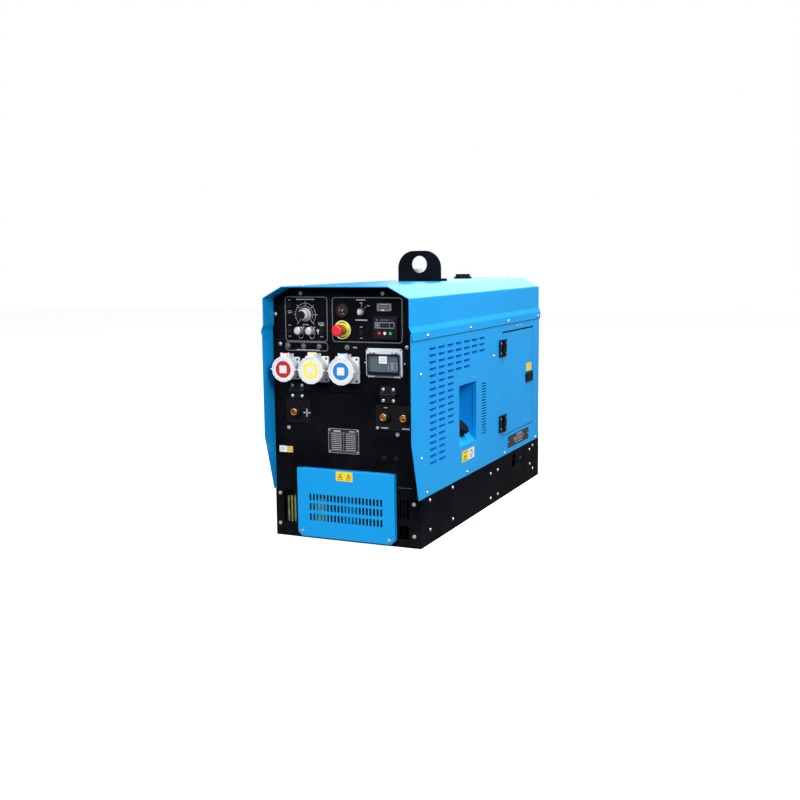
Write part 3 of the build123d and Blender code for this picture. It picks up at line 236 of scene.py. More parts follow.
def right(x):
    """A plane that faces the right side, u to the rear and v up."""
    return facing(((0, 1, 0), (0, 0, 1), (1, 0, 0)), (x, 0, 0))


def left(x):
    """A plane that faces the left side, u to the rear and v up."""
    return facing(((0, 1, 0), (0, 0, 1), (-1, 0, 0)), (x, 0, 0))


def above(z):
    """A level plane that faces up."""
    return facing(((1, 0, 0), (0, 1, 0), (0, 0, 1)), (0, 0, z))


def rect(u0, u1, v0, v1):
    return [(u0, v0), (u1, v0), (u1, v1), (u0, v1)]


def around(at, half_u, half_v):
    """The extents of a rectangle round a place."""
    return at[0] - half_u, at[0] + half_u, at[1] - half_v, at[1] + half_v


def rounded(u0, u1, v0, v1, radius, steps=5):
    """A rectangle with round corners, from the lower right one anticlockwise."""
    corners = ((u1 - radius, v0 + radius, -90), (u1 - radius, v1 - radius, 0),
               (u0 + radius, v1 - radius, 90), (u0 + radius, v0 + radius, 180))
    outline = []
    for u, v, start in corners:
        for step in range(steps + 1):
            turn = math.radians(start + 90 * step / steps)
            outline.append((u + radius * math.cos(turn), v + radius * math.sin(turn)))
    return outline


def inset(u0, u1, v0, v1, radius, width, steps=5):
    """The same outline as rounded gives, drawn inward by a width."""
    return rounded(u0 + width, u1 - width, v0 + width, v1 - width, max(0.3, radius - width), steps)


def circle(u, v, radius, steps=40):
    turns = [2 * math.pi * step / steps for step in range(steps)]
    return [(u + radius * math.cos(t), v + radius * math.sin(t)) for t in turns]


def circles(at, reach, turns, radius, steps):
    """Small circles at some turns, in radians, round a place."""
    return [circle(at[0] + reach * math.cos(t), at[1] + reach * math.sin(t), radius, steps) for t in turns]


def arc(u, v, inner, outer, start, end, steps=24):
    """A curved band between two angles, in degrees anticlockwise from +u."""
    turns = [math.radians(start + (end - start) * step / steps) for step in range(steps + 1)]
    band = [(u + outer * math.cos(t), v + outer * math.sin(t)) for t in turns]
    return band + [(u + inner * math.cos(t), v + inner * math.sin(t)) for t in reversed(turns)]


def stroke(u0, v0, u1, v1, width):
    """A straight line with square ends."""
    along = Vector((u1 - u0, v1 - v0)).normalized() * (width / 2)
    side = Vector((-along.y, along.x))
    a, b = Vector((u0, v0)), Vector((u1, v1))
    return [tuple(p) for p in (a - side, b - side, b + side, a + side)]


def dashes(u, v, widths, height, gap=1.1):
    """A row of bars in the place of a line of words, centred on u."""
    left_end = u - (sum(widths) + gap * (len(widths) - 1)) / 2
    row = []
    for width in widths:
        row.append(rect(left_end, left_end + width, v - height / 2, v + height / 2))
        left_end += width + gap
    return row


def text(*rows):
    """Several rows of dashes."""
    return [bar for row in rows for bar in dashes(*row)]


def triangle(u, v, side):
    """An upright triangle standing on v, and its inner outline."""
    high = side * 0.87
    outer = [(u - side / 2, v), (u + side / 2, v), (u, v + high)]
    middle = Vector((u, v + high / 3))
    inner = [tuple(middle + (Vector(p) - middle) * 0.66) for p in outer]
    return outer, inner


# Degrees between two faces from which their edge is bevelled
BEVEL_OVER = 40


class Shape:
    """Solids drawn on planes, in millimetres, which become one piece."""

    def __init__(self, plane):
        self.bm = bmesh.new()
        self.plane = plane

    def ring_of(self, outline, w):
        return [self.bm.verts.new(self.plane @ Vector((u, v, w))) for u, v in outline]

    def wall(self, low, high):
        """Faces between two closed rings."""
        for i in range(len(low)):
            j = (i + 1) % len(low)
            self.bm.faces.new((low[i], low[j], high[j], high[i]))

    def prism(self, outlines, w0, w1):
        """Closed solids between two heights over the plane."""
        for outline in outlines:
            low, high = self.ring_of(outline, w0), self.ring_of(outline, w1)
            self.bm.faces.new(low[::-1])
            self.bm.faces.new(high)
            self.wall(low, high)
        return self

    def tube(self, outer, inner, w0, w1):
        """A prism with a hole of the same number of corners."""
        rings = [self.ring_of(outline, w) for outline, w in
                 ((outer, w0), (outer, w1), (inner, w1), (inner, w0))]
        for a, b in zip(rings, rings[1:] + rings[:1]):
            self.wall(a, b)
        return self

    def washer(self, at, outer, inner, w0, w1, steps=40):
        """A ring between two radii round a place."""
        return self.tube(circle(*at, outer, steps), circle(*at, inner, steps), w0, w1)

    def turned(self, at, profile, steps=36):
        """A lathe form at a place: (radius, w) pairs, or (radius, w, 6) for a six-sided ring."""
        rings = []
        for radius, w, *corners in profile:
            outline = []
            for step in range(steps):
                turn = 2 * math.pi * step / steps
                reach = radius
                if corners:
                    half = math.pi / corners[0]
                    reach = radius * math.cos(half) / math.cos((turn + half) % (2 * half) - half)
                outline.append((at[0] + reach * math.cos(turn), at[1] + reach * math.sin(turn)))
            rings.append(self.ring_of(outline, w))
        for low, high in zip(rings, rings[1:]):
            self.wall(low, high)
        self.bm.faces.new(rings[0][::-1])
        self.bm.faces.new(rings[-1])
        return self

    def piece(self, name, finish, body, slot=None, bevel=0.0, smooth=32):
        """Ends the drawing: a mesh object with its finish, riding on a body."""
        bmesh.ops.scale(self.bm, vec=(MM, MM, MM), verts=self.bm.verts)
        bmesh.ops.recalc_face_normals(self.bm, faces=self.bm.faces)
        mesh = bpy.data.meshes.new(name)
        self.bm.to_mesh(mesh)
        self.bm.free()
        mesh.shade_smooth()
        mesh.set_sharp_from_angle(angle=math.radians(smooth))
        made = bpy.data.objects.new(name, mesh)
        bpy.context.scene.collection.objects.link(made)
        mesh.materials.append(materials[finish])
        if bevel:
            edge = made.modifiers.new("edges", "BEVEL")
            edge.width = bevel * MM
            edge.segments = 2
            edge.limit_method = "ANGLE"
            edge.angle_limit = math.radians(BEVEL_OVER)
        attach(made, body)
        return made


def dome(radius, high, base=0.0):
    """The profile of a domed head with a hexagon recess."""
    key = 0.42 * radius
    return ((radius, base), (radius, base + 0.3 * high), (0.9 * radius, base + 0.62 * high),
            (0.7 * radius, base + 0.88 * high), (0.52 * radius, base + high),
            (key, base + high, 6), (key, base + 0.45 * high, 6))


def heads(name, plane, places, radius, high, body, finish="zinc_steel", slot="zinc_steel"):
    """Screw or rivet heads on a plane, as one piece."""
    shape = Shape(plane)
    for at in places:
        shape.turned(at, dome(radius, high), steps=24)
    return shape.piece(name, finish, body, slot)


def printed(name, plane, outlines, body, finish="print_white", thick=PRINT):
    """Thin marks on a plane, as one piece."""
    return Shape(plane).prism(outlines, 0, thick).piece(name, finish, body, smooth=20)


# -------- camera, light and floor


CAMERA_AT = (1.6257, -3.8607, 0.9577)
# Yaw, pitch and roll, in radians
CAMERA_TURN = (0.4193, -0.1311, -0.0103)
CAMERA_LENS = 48.25


def make_camera():
    """The camera that takes in the whole object."""
    yaw, pitch, roll = CAMERA_TURN
    forward = Vector((-math.sin(yaw) * math.cos(pitch), math.cos(yaw) * math.cos(pitch), math.sin(pitch)))
    across = Vector((math.cos(yaw), math.sin(yaw), 0))
    up = across.cross(forward)
    tilted = math.cos(roll) * across + math.sin(roll) * up
    up = math.cos(roll) * up - math.sin(roll) * across
    camera = bpy.data.objects.new("camera", bpy.data.cameras.new("camera"))
    turn = Matrix((tilted, up, -forward)).transposed().to_4x4()
    camera.matrix_world = Matrix.Translation(CAMERA_AT) @ turn
    camera.data.lens = CAMERA_LENS
    camera.data.sensor_width = 36.0
    camera.data.clip_end = 100.0
    bpy.context.scene.collection.objects.link(camera)
    bpy.context.scene.camera = camera


def softbox(name, at, size, watts, colour=(1, 1, 1), aim=(0, 0, 0.45)):
    """A square area light."""
    light = bpy.data.objects.new(name, bpy.data.lights.new(name, "AREA"))
    light.data.shape = "SQUARE"
    light.data.size = size
    light.data.energy = watts
    light.data.color = colour
    light.location = at
    light.rotation_euler = (Vector(aim) - Vector(at)).to_track_quat("-Z", "Y").to_euler()
    bpy.context.scene.collection.objects.link(light)


def make_lights():
    """Area lights from every side, the strongest above and in front."""
    softbox("key_light", (4.0, -3.2, 3.2), 2.2, 165)
    softbox("side_light", (4.6, -0.4, 3.8), 2.2, 90)
    softbox("top_light", (1.6, 0.2, 4.4), 2.6, 190)
    softbox("front_light", (-0.9, -5.2, 3.0), 2.2, 215)
    softbox("left_light", (-5.0, -1.2, 2.6), 2.5, 22, (0.35, 0.6, 1.0))
    softbox("rear_light", (-1.2, 5.2, 2.6), 2.5, 55)


def make_world():
    """Dim light from all round, behind which the camera sees plain white."""
    world = bpy.data.worlds.new("studio")
    world.use_nodes = True
    tree = world.node_tree
    dim = tree.nodes["Background"]
    dim.inputs["Color"].default_value = (0.96, 0.98, 1.0, 1)
    dim.inputs["Strength"].default_value = 0.24
    seen = tree.nodes.new("ShaderNodeBackground")
    seen.inputs["Strength"].default_value = 1.0
    seen.inputs["Color"].default_value = (1, 1, 1, 1)
    eye = tree.nodes.new("ShaderNodeLightPath")
    either = tree.nodes.new("ShaderNodeMixShader")
    link(tree, eye, "Is Camera Ray", either, "Fac")
    link(tree, dim, "Background", either, 1)
    link(tree, seen, "Background", either, 2)
    link(tree, either, "Shader", tree.nodes["World Output"], "Surface")
    bpy.context.scene.world = world
    bpy.context.scene.view_settings.view_transform = "Standard"


FLOOR_HALF = 14.0


def make_floor():
    """A pale floor just under the object, which its paint doesn't mirror."""
    material("floor", (0.88, 0.88, 0.885), 0.85, mottle=0.01, patch=0.6, grain=60.0, bump=0.0,
             emission=0.85)
    mesh = bpy.data.meshes.new("floor")
    corners = [(x, y, 0) for x, y in rect(-FLOOR_HALF, FLOOR_HALF, -FLOOR_HALF, FLOOR_HALF)]
    mesh.from_pydata(corners, [], [(0, 1, 2, 3)])
    mesh.materials.append(materials["floor"])
    floor = bpy.data.objects.new("floor", mesh)
    floor.location.z = -0.0005
    floor.visible_glossy = False
    floor.visible_diffuse = False
    bpy.context.scene.collection.objects.link(floor)


make_camera()
make_lights()
make_world()
make_floor()

# -------- chains of the dust caps

REMOTE_AT = ((-159.5, 720.0, "left"), (-117.0, 720.0, "right"))
REMOTE_CAP_FRONT = 31.0
CHAIN_R = 0.9
BEAD_PITCH = 2.3
LINK_R = 0.45


def chain_route(x, z):
    """The route from a cap down, round and back up to the panel."""
    y = FRONT
    return [
        (x - 3.0, y - 12.5, z - 11.9), (x - 3.5, y - 12.7, z - 16.0), (x - 3.3, y - 12.2, z - 20.5),
        (x - 1.3, y - 11.0, z - 25.2), (x + 3.4, y - 9.6, z - 27.2), (x + 8.1, y - 8.2, z - 25.2),
        (x + 10.2, y - 6.6, z - 20.5), (x + 10.5, y - 5.4, z - 15.2), (x + 10.1, y - 4.9, z - 10.4),
    ]


def spline_line(points):
    """The points of the smooth line that a route's corners pull on, in metres."""
    curve = bpy.data.curves.new("route", "CURVE")
    curve.dimensions = "3D"
    curve.resolution_u = 12
    spline = curve.splines.new("NURBS")
    spline.points.add(len(points) - 1)
    for point, at in zip(spline.points, points):
        point.co = (*[c * MM for c in at], 1)
    spline.order_u = 3
    spline.use_endpoint_u = True
    holder = bpy.data.objects.new("route", curve)
    mesh = bpy.data.meshes.new_from_object(holder)
    line = [v.co.copy() for v in mesh.vertices]
    bpy.data.meshes.remove(mesh)
    bpy.data.curves.remove(curve)
    return line


def along(line, distance):
    """The point and the direction at a distance along a line."""
    for a, b in zip(line, line[1:]):
        run = (b - a).length
        if distance <= run:
            return a.lerp(b, distance / run), (b - a).normalized()
        distance -= run
    return line[-1].copy(), (line[-1] - line[-2]).normalized()


def bead_chain(name, line):
    """Hollow beads on short links, all along a line."""
    length = sum((b - a).length for a, b in zip(line, line[1:]))
    count = round(length / (BEAD_PITCH * MM))
    bm = bmesh.new()
    for index in range(count + 1):
        at, _ = along(line, length * index / count)
        bmesh.ops.create_uvsphere(bm, u_segments=12, v_segments=8, radius=CHAIN_R * MM,
                                  matrix=Matrix.Translation(at))
        if index < count:
            at, heading = along(line, length * (index + 0.5) / count)
            turn = heading.to_track_quat("Z", "Y").to_matrix().to_4x4()
            bmesh.ops.create_cone(bm, cap_ends=True, segments=8, radius1=LINK_R * MM, radius2=LINK_R * MM,
                                  depth=BEAD_PITCH * MM, matrix=Matrix.Translation(at) @ turn)
    mesh = bpy.data.meshes.new(name)
    bm.to_mesh(mesh)
    bm.free()
    mesh.shade_smooth()
    mesh.materials.append(materials["nickel"])
    chain = bpy.data.objects.new(name, mesh)
    bpy.context.scene.collection.objects.link(chain)
    return chain


for x, z, side in REMOTE_AT:
    line = spline_line(chain_route(x, z))
    chain = bead_chain(f"{side}_bead_chain", line)
    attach(chain, "front_panel")
    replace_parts(chain, f"{side}_cap_chain")

# -------- sheet metal casing

LOUVER_SIZE = (60.0, 9.0)
LOUVER_CORNER = 6.0
LOUVER_PITCH = 22.65
LOUVER_TOP_Z = 663.0
LOUVER_COLUMNS = ((-587, 18), (-506, 18), (-423, 13), (-344, 5), (-261, 5), (-179, 3), (-98, 3))
LOUVER_DEPTH = 8.0
LOUVER_SHEET = 1.0
LOUVER_RUN_IN = 11.0
LOUVER_SINK = 0.3
LOUVER_STEEPNESS = 0.45
LOUVER_GRID = (14, 5)


def scoop_grid(shape, left_end, top, sink):
    """One layer of a louvre: flush along its lower edge and pushed in along its upper edge."""
    length, height = LOUVER_SIZE
    across, up = LOUVER_GRID
    grid = []
    for row in range(up + 1):
        rise = height * row / up
        below = max(0.0, LOUVER_CORNER - rise)
        half = length / 2 - LOUVER_CORNER + math.sqrt(LOUVER_CORNER ** 2 - below ** 2)
        line = []
        for column in range(across + 1):
            u = half * math.sin(math.pi * (column / across - 0.5))
            ramp = min(1.0, (half - abs(u)) / LOUVER_RUN_IN)
            depth = LOUVER_DEPTH * (rise / height) ** LOUVER_STEEPNESS * ramp * ramp * (3 - 2 * ramp)
            place = (left_end + length / 2 + u, top - height + rise, -sink - depth)
            line.append(shape.bm.verts.new(shape.plane @ Vector(place)))
        grid.append(line)
    return grid


def add_scoop(shape, left_end, top):
    """One louvre: two layers, closed along their rims."""
    layers = [scoop_grid(shape, left_end, top, sink) for sink in (LOUVER_SINK, LOUVER_SINK + LOUVER_SHEET)]
    for grid in layers:
        for low, high in zip(grid, grid[1:]):
            for i in range(len(low) - 1):
                shape.bm.faces.new((low[i], low[i + 1], high[i + 1], high[i]))
    rims = []
    for grid in layers:
        sides = [line[-1] for line in grid[1:-1]], [line[0] for line in grid[-2:0:-1]]
        rims.append(grid[0] + sides[0] + grid[-1][::-1] + sides[1])
    shape.wall(*rims)


def louvers(name, plane):
    """All the louvres of one side, in a darker blue than the casing: painted shade inside the pressed-in
    scoops.
    """
    shape = Shape(plane)
    for left_end, rows in LOUVER_COLUMNS:
        for row in range(rows):
            add_scoop(shape, left_end, LOUVER_TOP_Z - row * LOUVER_PITCH)
    shape.piece(name, "louver_painted_shade", "root", "blue_paint", smooth=50)


SIDES = (("right", right(RIGHT)), ("left", left(LEFT)))
LOUVER_LINING = (rect(-600, -325, 140, 672), rect(-325, -45, 565, 672))
VENT_LINING = rect(-84, -14, 288, 502)
DOOR = (170.0, 580.0, 248.0, 664.0, 3.0)
NICHE = (-314.0, -132.0, 281.0, 508.0, 2.0)
SEAM_Z = (692.8, 695.2)

for side, plane in SIDES:
    louvers(f"{side}_louvers", plane)

for side, plane in SIDES:
    lining = Shape(plane).prism(LOUVER_LINING, -26, -20)
    lining.piece(f"{side}_louver_lining", "foam_black", "root", "neck_rubber")
    lining = Shape(plane).prism([VENT_LINING], -6, -2.6)
    lining.piece(f"{side}_vent_lining", "foam_black", "root", "neck_rubber")

side_face = right(RIGHT)
# A dark rubber strip just above the door's top edge: painted shadow that widens the dark line of the gap.
gap_shadow_strip = Shape(side_face).prism([rect(DOOR[0] + 1, DOOR[1] - 1, DOOR[3] + 0.6, DOOR[3] + 3.2)], 0, 0.8)
gap_shadow_strip.piece("door_top_painted_shadow", "neck_rubber", "root", "neck_rubber")
door_seal = Shape(side_face).tube(rounded(*DOOR), inset(*DOOR, 9.0), -9.0, -3.0)
door_seal.piece("door_seal", "neck_rubber", "root", "neck_rubber")
niche_lip = Shape(side_face).tube(inset(*NICHE, 0.2), inset(*NICHE, 2.4), -14.0, 0.6)
niche_lip.piece("niche_lip", "blue_paint", "root", "blue_paint", bevel=0.5)

# Dark rubber strips along the seam under the roof's flange, both sides: painted shadow of the flange on the
# side panels.
for side, plane in SIDES:
    seal = Shape(plane).prism([rect(-735, 680, *SEAM_Z)], 0, 1.0)
    seal.piece(f"{side}_roof_flange_shadow", "neck_rubber", "root", "neck_rubber")

heads("side_small_screws", side_face, [(363, 680), (404, 678)], 4.2, 2.2, "root")
heads("side_rivets", side_face, [(-290, 521), (-150, 521), (-290, 268), (-150, 268)], 3.0, 1.4, "root")

door_plate = Shape(side_face).prism([rounded(241.0, 521.0, 188.0, 237.0, 4)], 0, 1.0)
door_plate.piece("door_name_plate", "side_plate", "root", "black_plastic", bevel=0.3)
plate_marks = text(
    (391, 229, (22, 16, 20), 6, 4), (381, 218.5, (16, 9, 22, 12, 18, 8, 24), 3.5, 5),
    (381, 209, (26, 14, 8, 30, 19), 4, 5), (385, 198, (22, 12, 30, 16), 3.5, 5))
printed("door_plate_marks", right(RIGHT + 1.0), plate_marks, "root")
heads("door_plate_rivets", right(RIGHT + 1.0), [(252, 212), (510, 212)], 3.4, 1.6, "root")
printed("base_side_marks", right(BASE_SIDE), dashes(407, 123, (6, 4, 9, 5), 4), "root", "print_grey")


def sticker(name, plane, outline, body, finish="label_yellow"):
    """The sheet of a label."""
    return Shape(plane).prism([outline], 0, STICKER).piece(name, finish, body, smooth=20)


# Beside the filler: a drop between two lines, and a ring struck through
sticker("niche_sticker_yellow", side_face, rounded(-285, -221, 223, 263, 2), "root")
sticker("niche_sticker_white", side_face, rounded(-220.5, -157, 223, 263, 2), "root", "label_white")
sticker_face = right(RIGHT + STICKER)
sticker_marks = [circle(-253, 240, 6), stroke(-276, 256, -230, 256, 2), stroke(-272, 229, -234, 229, 2),
                 stroke(-194, 232, -183, 240, 3), stroke(-194, 254, -184, 248, 3)]
printed("niche_sticker_marks", sticker_face, sticker_marks, "root", "label_black")
ring = Shape(sticker_face).washer((-189, 243), 15, 12.4, 0, PRINT)
ring.piece("niche_sticker_ring", "red_print", "root", smooth=20)
sticker("door_sticker", side_face, rounded(486, 559, 480, 513, 2), "door")
sticker_marks = text((535, 502, (12, 7, 14), 2.2, 3), (535, 491, (9, 16), 2.2, 3))
sticker_marks.insert(0, arc(503, 496, 6.5, 8, 0, 360))
printed("door_sticker_marks", sticker_face, sticker_marks, "door", "label_gold")

HINGE_Z = (603, 302)
LEAF_THICK = 6
for leaf, offset, body in (("frame", -30, "root"), ("door", 28, "door")):
    places = [(DOOR[0] + offset, z + dz) for z in HINGE_Z for dz in (20, -20)]
    heads(f"hinge_{leaf}_screws", right(RIGHT + LEAF_THICK), places, 4.4, 1.6, body)

BREATHER = (-57.0, 100.0)
BREATHER_PROFILE = ((7, -1), (7, 19), (18, 20), (18.5, 22), (18.5, 45), (16.5, 48))
breather = Shape(above(ROOF)).turned(BREATHER, BREATHER_PROFILE, 32)
breather.piece("tank_breather", "grey_plastic", "root", "grey_plastic", smooth=35)

# -------- printing on the control panel

KNOB = (-143.0, 773.0)
KEY = (67.4, 785.0)
ESTOP = (-3.4, 724.0)
GAUGE = (-1.5, 789.0)
METER = (152.0, 800.5)
CONTROLLER = (157.3, 733.5)
ROCKERS = ((-204.0, 804.0), (-205.0, 718.0), (-82.0, 718.0), (66.0, 716.0))
LAMPS = ((-212, 667), (-152, 667), (-92, 667), (13, 666))
PANEL = "front_panel"
DIAL_RINGS = (28.5, 38.5)
DIAL_TICK = (DIAL_RINGS[0], 46)


def panel(off):
    """The plane that stands off the front by a distance."""
    return front(FRONT - off)


def border(name, extent, radius, width):
    """A printed line round a group of instruments."""
    shape = Shape(panel_face).tube(rounded(*extent, radius, 8), inset(*extent, radius, width, 8), 0, PRINT)
    shape.piece(name, "print_grey", PANEL, smooth=20)


def dial_scale():
    """Two arcs round the current dial, with seven ticks across them."""
    marks = [arc(*KNOB, radius - 0.5, radius + 0.5, -45, 225, 48) for radius in DIAL_RINGS]
    for step in range(7):
        turn = math.radians(-45 + 45 * step)
        start, end = [(KNOB[0] + r * math.cos(turn), KNOB[1] + r * math.sin(turn)) for r in DIAL_TICK]
        marks.append(stroke(*start, *end, 1.3))
    return marks


def key_marks():
    """The two positions of the key, each with a word."""
    u, v = KEY
    lines = [stroke(u + 1, v + 17, u + 1, v + 25, 1.3), stroke(u + 12, v + 12, u + 18, v + 18, 1.3)]
    return lines + text((u, v + 29, (5, 4), 2.6), (u + 26, v + 20, (4, 4), 2.6))


panel_face = panel(0)
border("welder_frame_line", (-222, -59, 682, 834), 12, 3.0)
border("engine_frame_line", (-42, 216, 683, 833), 12, 3.0)
border("lamp_frame_line", (-223, -59, 650, 681), 11, 2.6)

white_marks = text(
    (-143, 824.5, (9, 6, 11, 7, 12, 8, 9), 2.8), (66, 824, (8, 6, 9, 7), 3.6),
    (67, 757.5, (5, 6, 7, 6, 8, 6), 3.6), (-143, 739.5, (7, 5, 8), 2.8),
    (-84, 746, (6, 5, 8), 2.6), (-83, 740, (8, 7, 7), 2.4),
    (-135, 653.5, (11, 8, 14, 6, 9, 12, 7, 13), 3.0), (42, 666, (6, 7), 3.6),
    (-203, 786, (5, 4), 2.4), (-203, 779, (6, 5), 2.4))
for u, v in ROCKERS:
    white_marks += text((u, v + 18.5, (4, 4.5), 2.4), (u, v - 18.5, (5, 3.5), 2.4))
white_marks += [circle(-96, 720, 5.2, 20), rect(-98, -94, 708, 716)]
printed("panel_print", panel_face, white_marks + dial_scale() + key_marks(), PANEL)
printed("panel_print_grey", panel_face, [stroke(-216, 782, -188, 782, 1.6)], PANEL, "print_grey")

# -------- instruments

GAUGE_CASE = ((22.4, -45), (22.4, 0.2), (25, 0.2), (25, 4.4), (24.2, 5.8), (22.8, 6), (22, 5.4), (21.6, 3))


def gauge():
    """The fuel gauge: its case, dial, marks and needle."""
    u, v = GAUGE
    case = Shape(panel_face).turned(GAUGE, GAUGE_CASE)
    case = case.piece("gauge_case", "black_plastic", PANEL, "black_plastic")
    Shape(panel(3.0)).prism([circle(u, v, 21.4)], 0, 0.3).piece("gauge_dial", "label_black", PANEL)
    ticks = [arc(u, v, 14.5, 17, a, a + 2.5, 2) for a in range(-50, 240, 32)]
    printed("gauge_marks", panel(3.3), ticks + dashes(u + 2, v - 11, (3, 3), 2.0), PANEL)
    printed("gauge_red_band", panel(3.3), [arc(u, v, 8, 13, 140, 195)], PANEL, "red_print")
    needle = Shape(panel(3.5)).prism([[(u - 0.8, v), (u + 0.8, v - 0.5), (u + 8, v + 11)]], 0, 0.5)
    needle.turned(GAUGE, ((2.6, 0), (2.6, 1.2), (1.6, 1.8)), 20).piece("gauge_needle", "print_white", PANEL)
    return case


def hour_meter():
    """The hour meter: its case, lens, five drawn digits and marks."""
    u, v = METER
    outer, inner = rounded(*around(METER, 26, 12.5), 2.5), rounded(*around(METER, 18, 6.2), 1)
    shape = Shape(panel_face).tube(outer, inner, 0.1, 4.0)
    shape.prism([rect(*around(METER, 23, 9.8))], -40, 0.6)
    case = shape.piece("hour_meter_case", "meter_grey", PANEL, "black_plastic", bevel=0.7)
    lens = Shape(panel_face).prism([rect(*around(METER, 17.9, 6.1))], 0.6, 2.2)
    lens.piece("hour_meter_lens", "dark_glass", PANEL)
    digits = []
    for place in range(5):
        left_edge = u - 15 + place * 6.2
        digits += [rect(left_edge, left_edge + 3.6, v + dv, v + dv + 0.8) for dv in (-3.2, 2.4)]
        digits += [rect(left_edge + du, left_edge + du + 0.8, v - 2.4, v + 2.4) for du in (0, 2.8)]
    printed("hour_meter_digits", panel(2.2), digits, PANEL)
    printed("hour_meter_marks", panel(4.0), dashes(u, v + 9.2, (4, 6, 3, 5), 2.0), PANEL)
    printed("hour_meter_tab", panel(4.0), dashes(u - 5, v - 9.4, (9,), 3.0), PANEL, "print_bright")
    return case


BUTTON_X = (136.8, 156.8, 176.8)
BUTTON_Z = 716.0
CELL = 10.0
CONTROLLER_HALF = (43.5, 37.5)
CONTROLLER_FRONT = 10.0
BEZEL = 0.6


def button_cell(x, steps=40):
    """A square and a button's hole, with as many points each."""
    square = []
    for step in range(steps):
        turn = 2 * math.pi * step / steps
        reach = CELL / max(abs(math.cos(turn)), abs(math.sin(turn)))
        square.append((x + reach * math.cos(turn), BUTTON_Z + reach * math.sin(turn)))
    return square, circle(x, BUTTON_Z, 5.5, steps)


def button_plate():
    """The raised plate round the three buttons, with a hole for each."""
    low, high = BUTTON_Z - CELL, BUTTON_Z + CELL
    left_end, right_end, bottom, top = around(CONTROLLER, *CONTROLLER_HALF)
    # A rounded outline has six points to a corner. The corners that meet the buttons' row are square.
    over = rounded(left_end, right_end, high, top, 5)
    over[:6] = [(right_end, high)]
    over[-6:] = [(left_end, high)]
    under = rounded(left_end, right_end, bottom, low, 5)
    under[6:18] = [(right_end, low), (left_end, low)]
    ends = [rect(left_end, BUTTON_X[0] - CELL, low, high), rect(BUTTON_X[2] + CELL, right_end, low, high)]
    plate = Shape(panel_face).prism([over, under, *ends], 4.5, CONTROLLER_FRONT)
    for x in BUTTON_X:
        plate.tube(*button_cell(x), 4.5, CONTROLLER_FRONT)
    plate.piece("controller_button_plate", "controller_case", PANEL, "black_plastic")


def controller():
    """The engine controller: its case, button plate, display and marks."""
    u, v = CONTROLLER
    shape = Shape(panel_face).prism([rounded(*around(CONTROLLER, *CONTROLLER_HALF), 5)], 0.1, 5.0)
    shape.prism([rect(*around(CONTROLLER, 39, 33))], -42, 0.5)
    case = shape.piece("controller_case", "controller_case", PANEL, "black_plastic", bevel=0.8)
    button_plate()
    face, raised = panel(CONTROLLER_FRONT), panel(CONTROLLER_FRONT + BEZEL)
    bezel = Shape(face).prism([rounded(u - 36.5, u + 34.5, 731.5, 752.5, 2.5)], 0, BEZEL)
    bezel.piece("display_bezel", "lilac_bezel", PANEL, bevel=0.2)
    glass = Shape(raised).prism([rounded(u - 17.5, u + 14.5, 734.5, 749.5, 1.5)], 0, 0.5)
    glass.piece("display_glass", "dark_glass", PANEL)
    jog = (u - 27, 742)
    button = Shape(raised).turned(jog, ((6, 0), (6, 0.4), (5, 0.8)), 28)
    button.piece("display_jog_button", "label_black", PANEL)
    printed("display_jog_dot", panel(11.4), [circle(*jog, 2.0, 20)], PANEL, "print_bright")
    side_key = Shape(raised).prism([rounded(u + 17, u + 31.5, 735, 749, 2)], 0, 0.5)
    side_key.piece("display_side_key", "controller_case", PANEL)
    z = 759.5
    words = text((u - 28.5, z, (7,), 4), (u - 1.5, z, (4, 5, 4, 4, 5, 3), 2.8), (u + 24.5, z, (4,), 2.4))
    printed("controller_marks", face, words, PANEL, "print_grey")
    return case


KEY_HOLE_R = 9.15


def key_switch():
    """The key's barrel with its dark face, and the bow of the key."""
    shape = Shape(panel_face).washer(KEY, 11, KEY_HOLE_R, -12, 0.2)
    shape.prism([circle(*KEY, 11)], -45, -12.0)
    shape.washer(KEY, 14, KEY_HOLE_R, 0.1, 7.0, 48)
    barrel = shape.piece("key_barrel", "steel_grey", PANEL, "nickel", bevel=1.4)
    face = Shape(panel(7.0)).washer(KEY, 11.4, KEY_HOLE_R, -0.1, 0.25, 48)
    face.piece("key_barrel_face", "label_black", PANEL)
    outline = rounded(FRONT - 23.5, FRONT - 11, KEY[1] - 8.8, KEY[1] + 8.8, 5)
    bow = Shape(right(KEY[0] + 3.2)).prism([outline], -6.4, 0)
    # The nickel bow is drawn in matte white: its silver colour with a painted highlight over the whole bow.
    bow.piece("key_bow", "label_white", "key", "nickel", bevel=0.8)
    return barrel


STEM_HOLE_R = 8.1


def emergency_stop():
    """The stop's legend disc, collar and switch body."""
    legend = Shape(panel_face).washer(ESTOP, 31.4, 14.2, 0.1, 2.4, 56)
    legend = legend.piece("estop_disc", "yellow_disc", PANEL, bevel=0.6)
    arcs = [arc(*ESTOP, 23.5, 26.5, a, a + 62) for a in (58, 238)]
    arcs += [arc(*ESTOP, 24, 26, a, a + 34) for a in (-20, 160)]
    printed("estop_disc_marks", panel(2.4), arcs, PANEL, "label_black")
    rim = Shape(panel(2.4)).washer(ESTOP, 30.8, 29.0, 0, 0.2, 56)
    rim.piece("estop_disc_rim", "frame_light", PANEL)
    collar = Shape(panel_face).washer(ESTOP, 14.5, STEM_HOLE_R, 0.1, 20.0)
    collar.washer(ESTOP, 17.5, 14.0, 2.4, 7.0)
    collar.piece("estop_collar", "olive_metal", PANEL, bevel=1.0)
    body = Shape(panel_face).washer(ESTOP, 11, STEM_HOLE_R, -20, 0.1)
    body.prism([rounded(*around(ESTOP, 11, 11), 2)], -50, -20)
    body.piece("estop_switch_body", "black_plastic", PANEL, "black_plastic")
    return legend


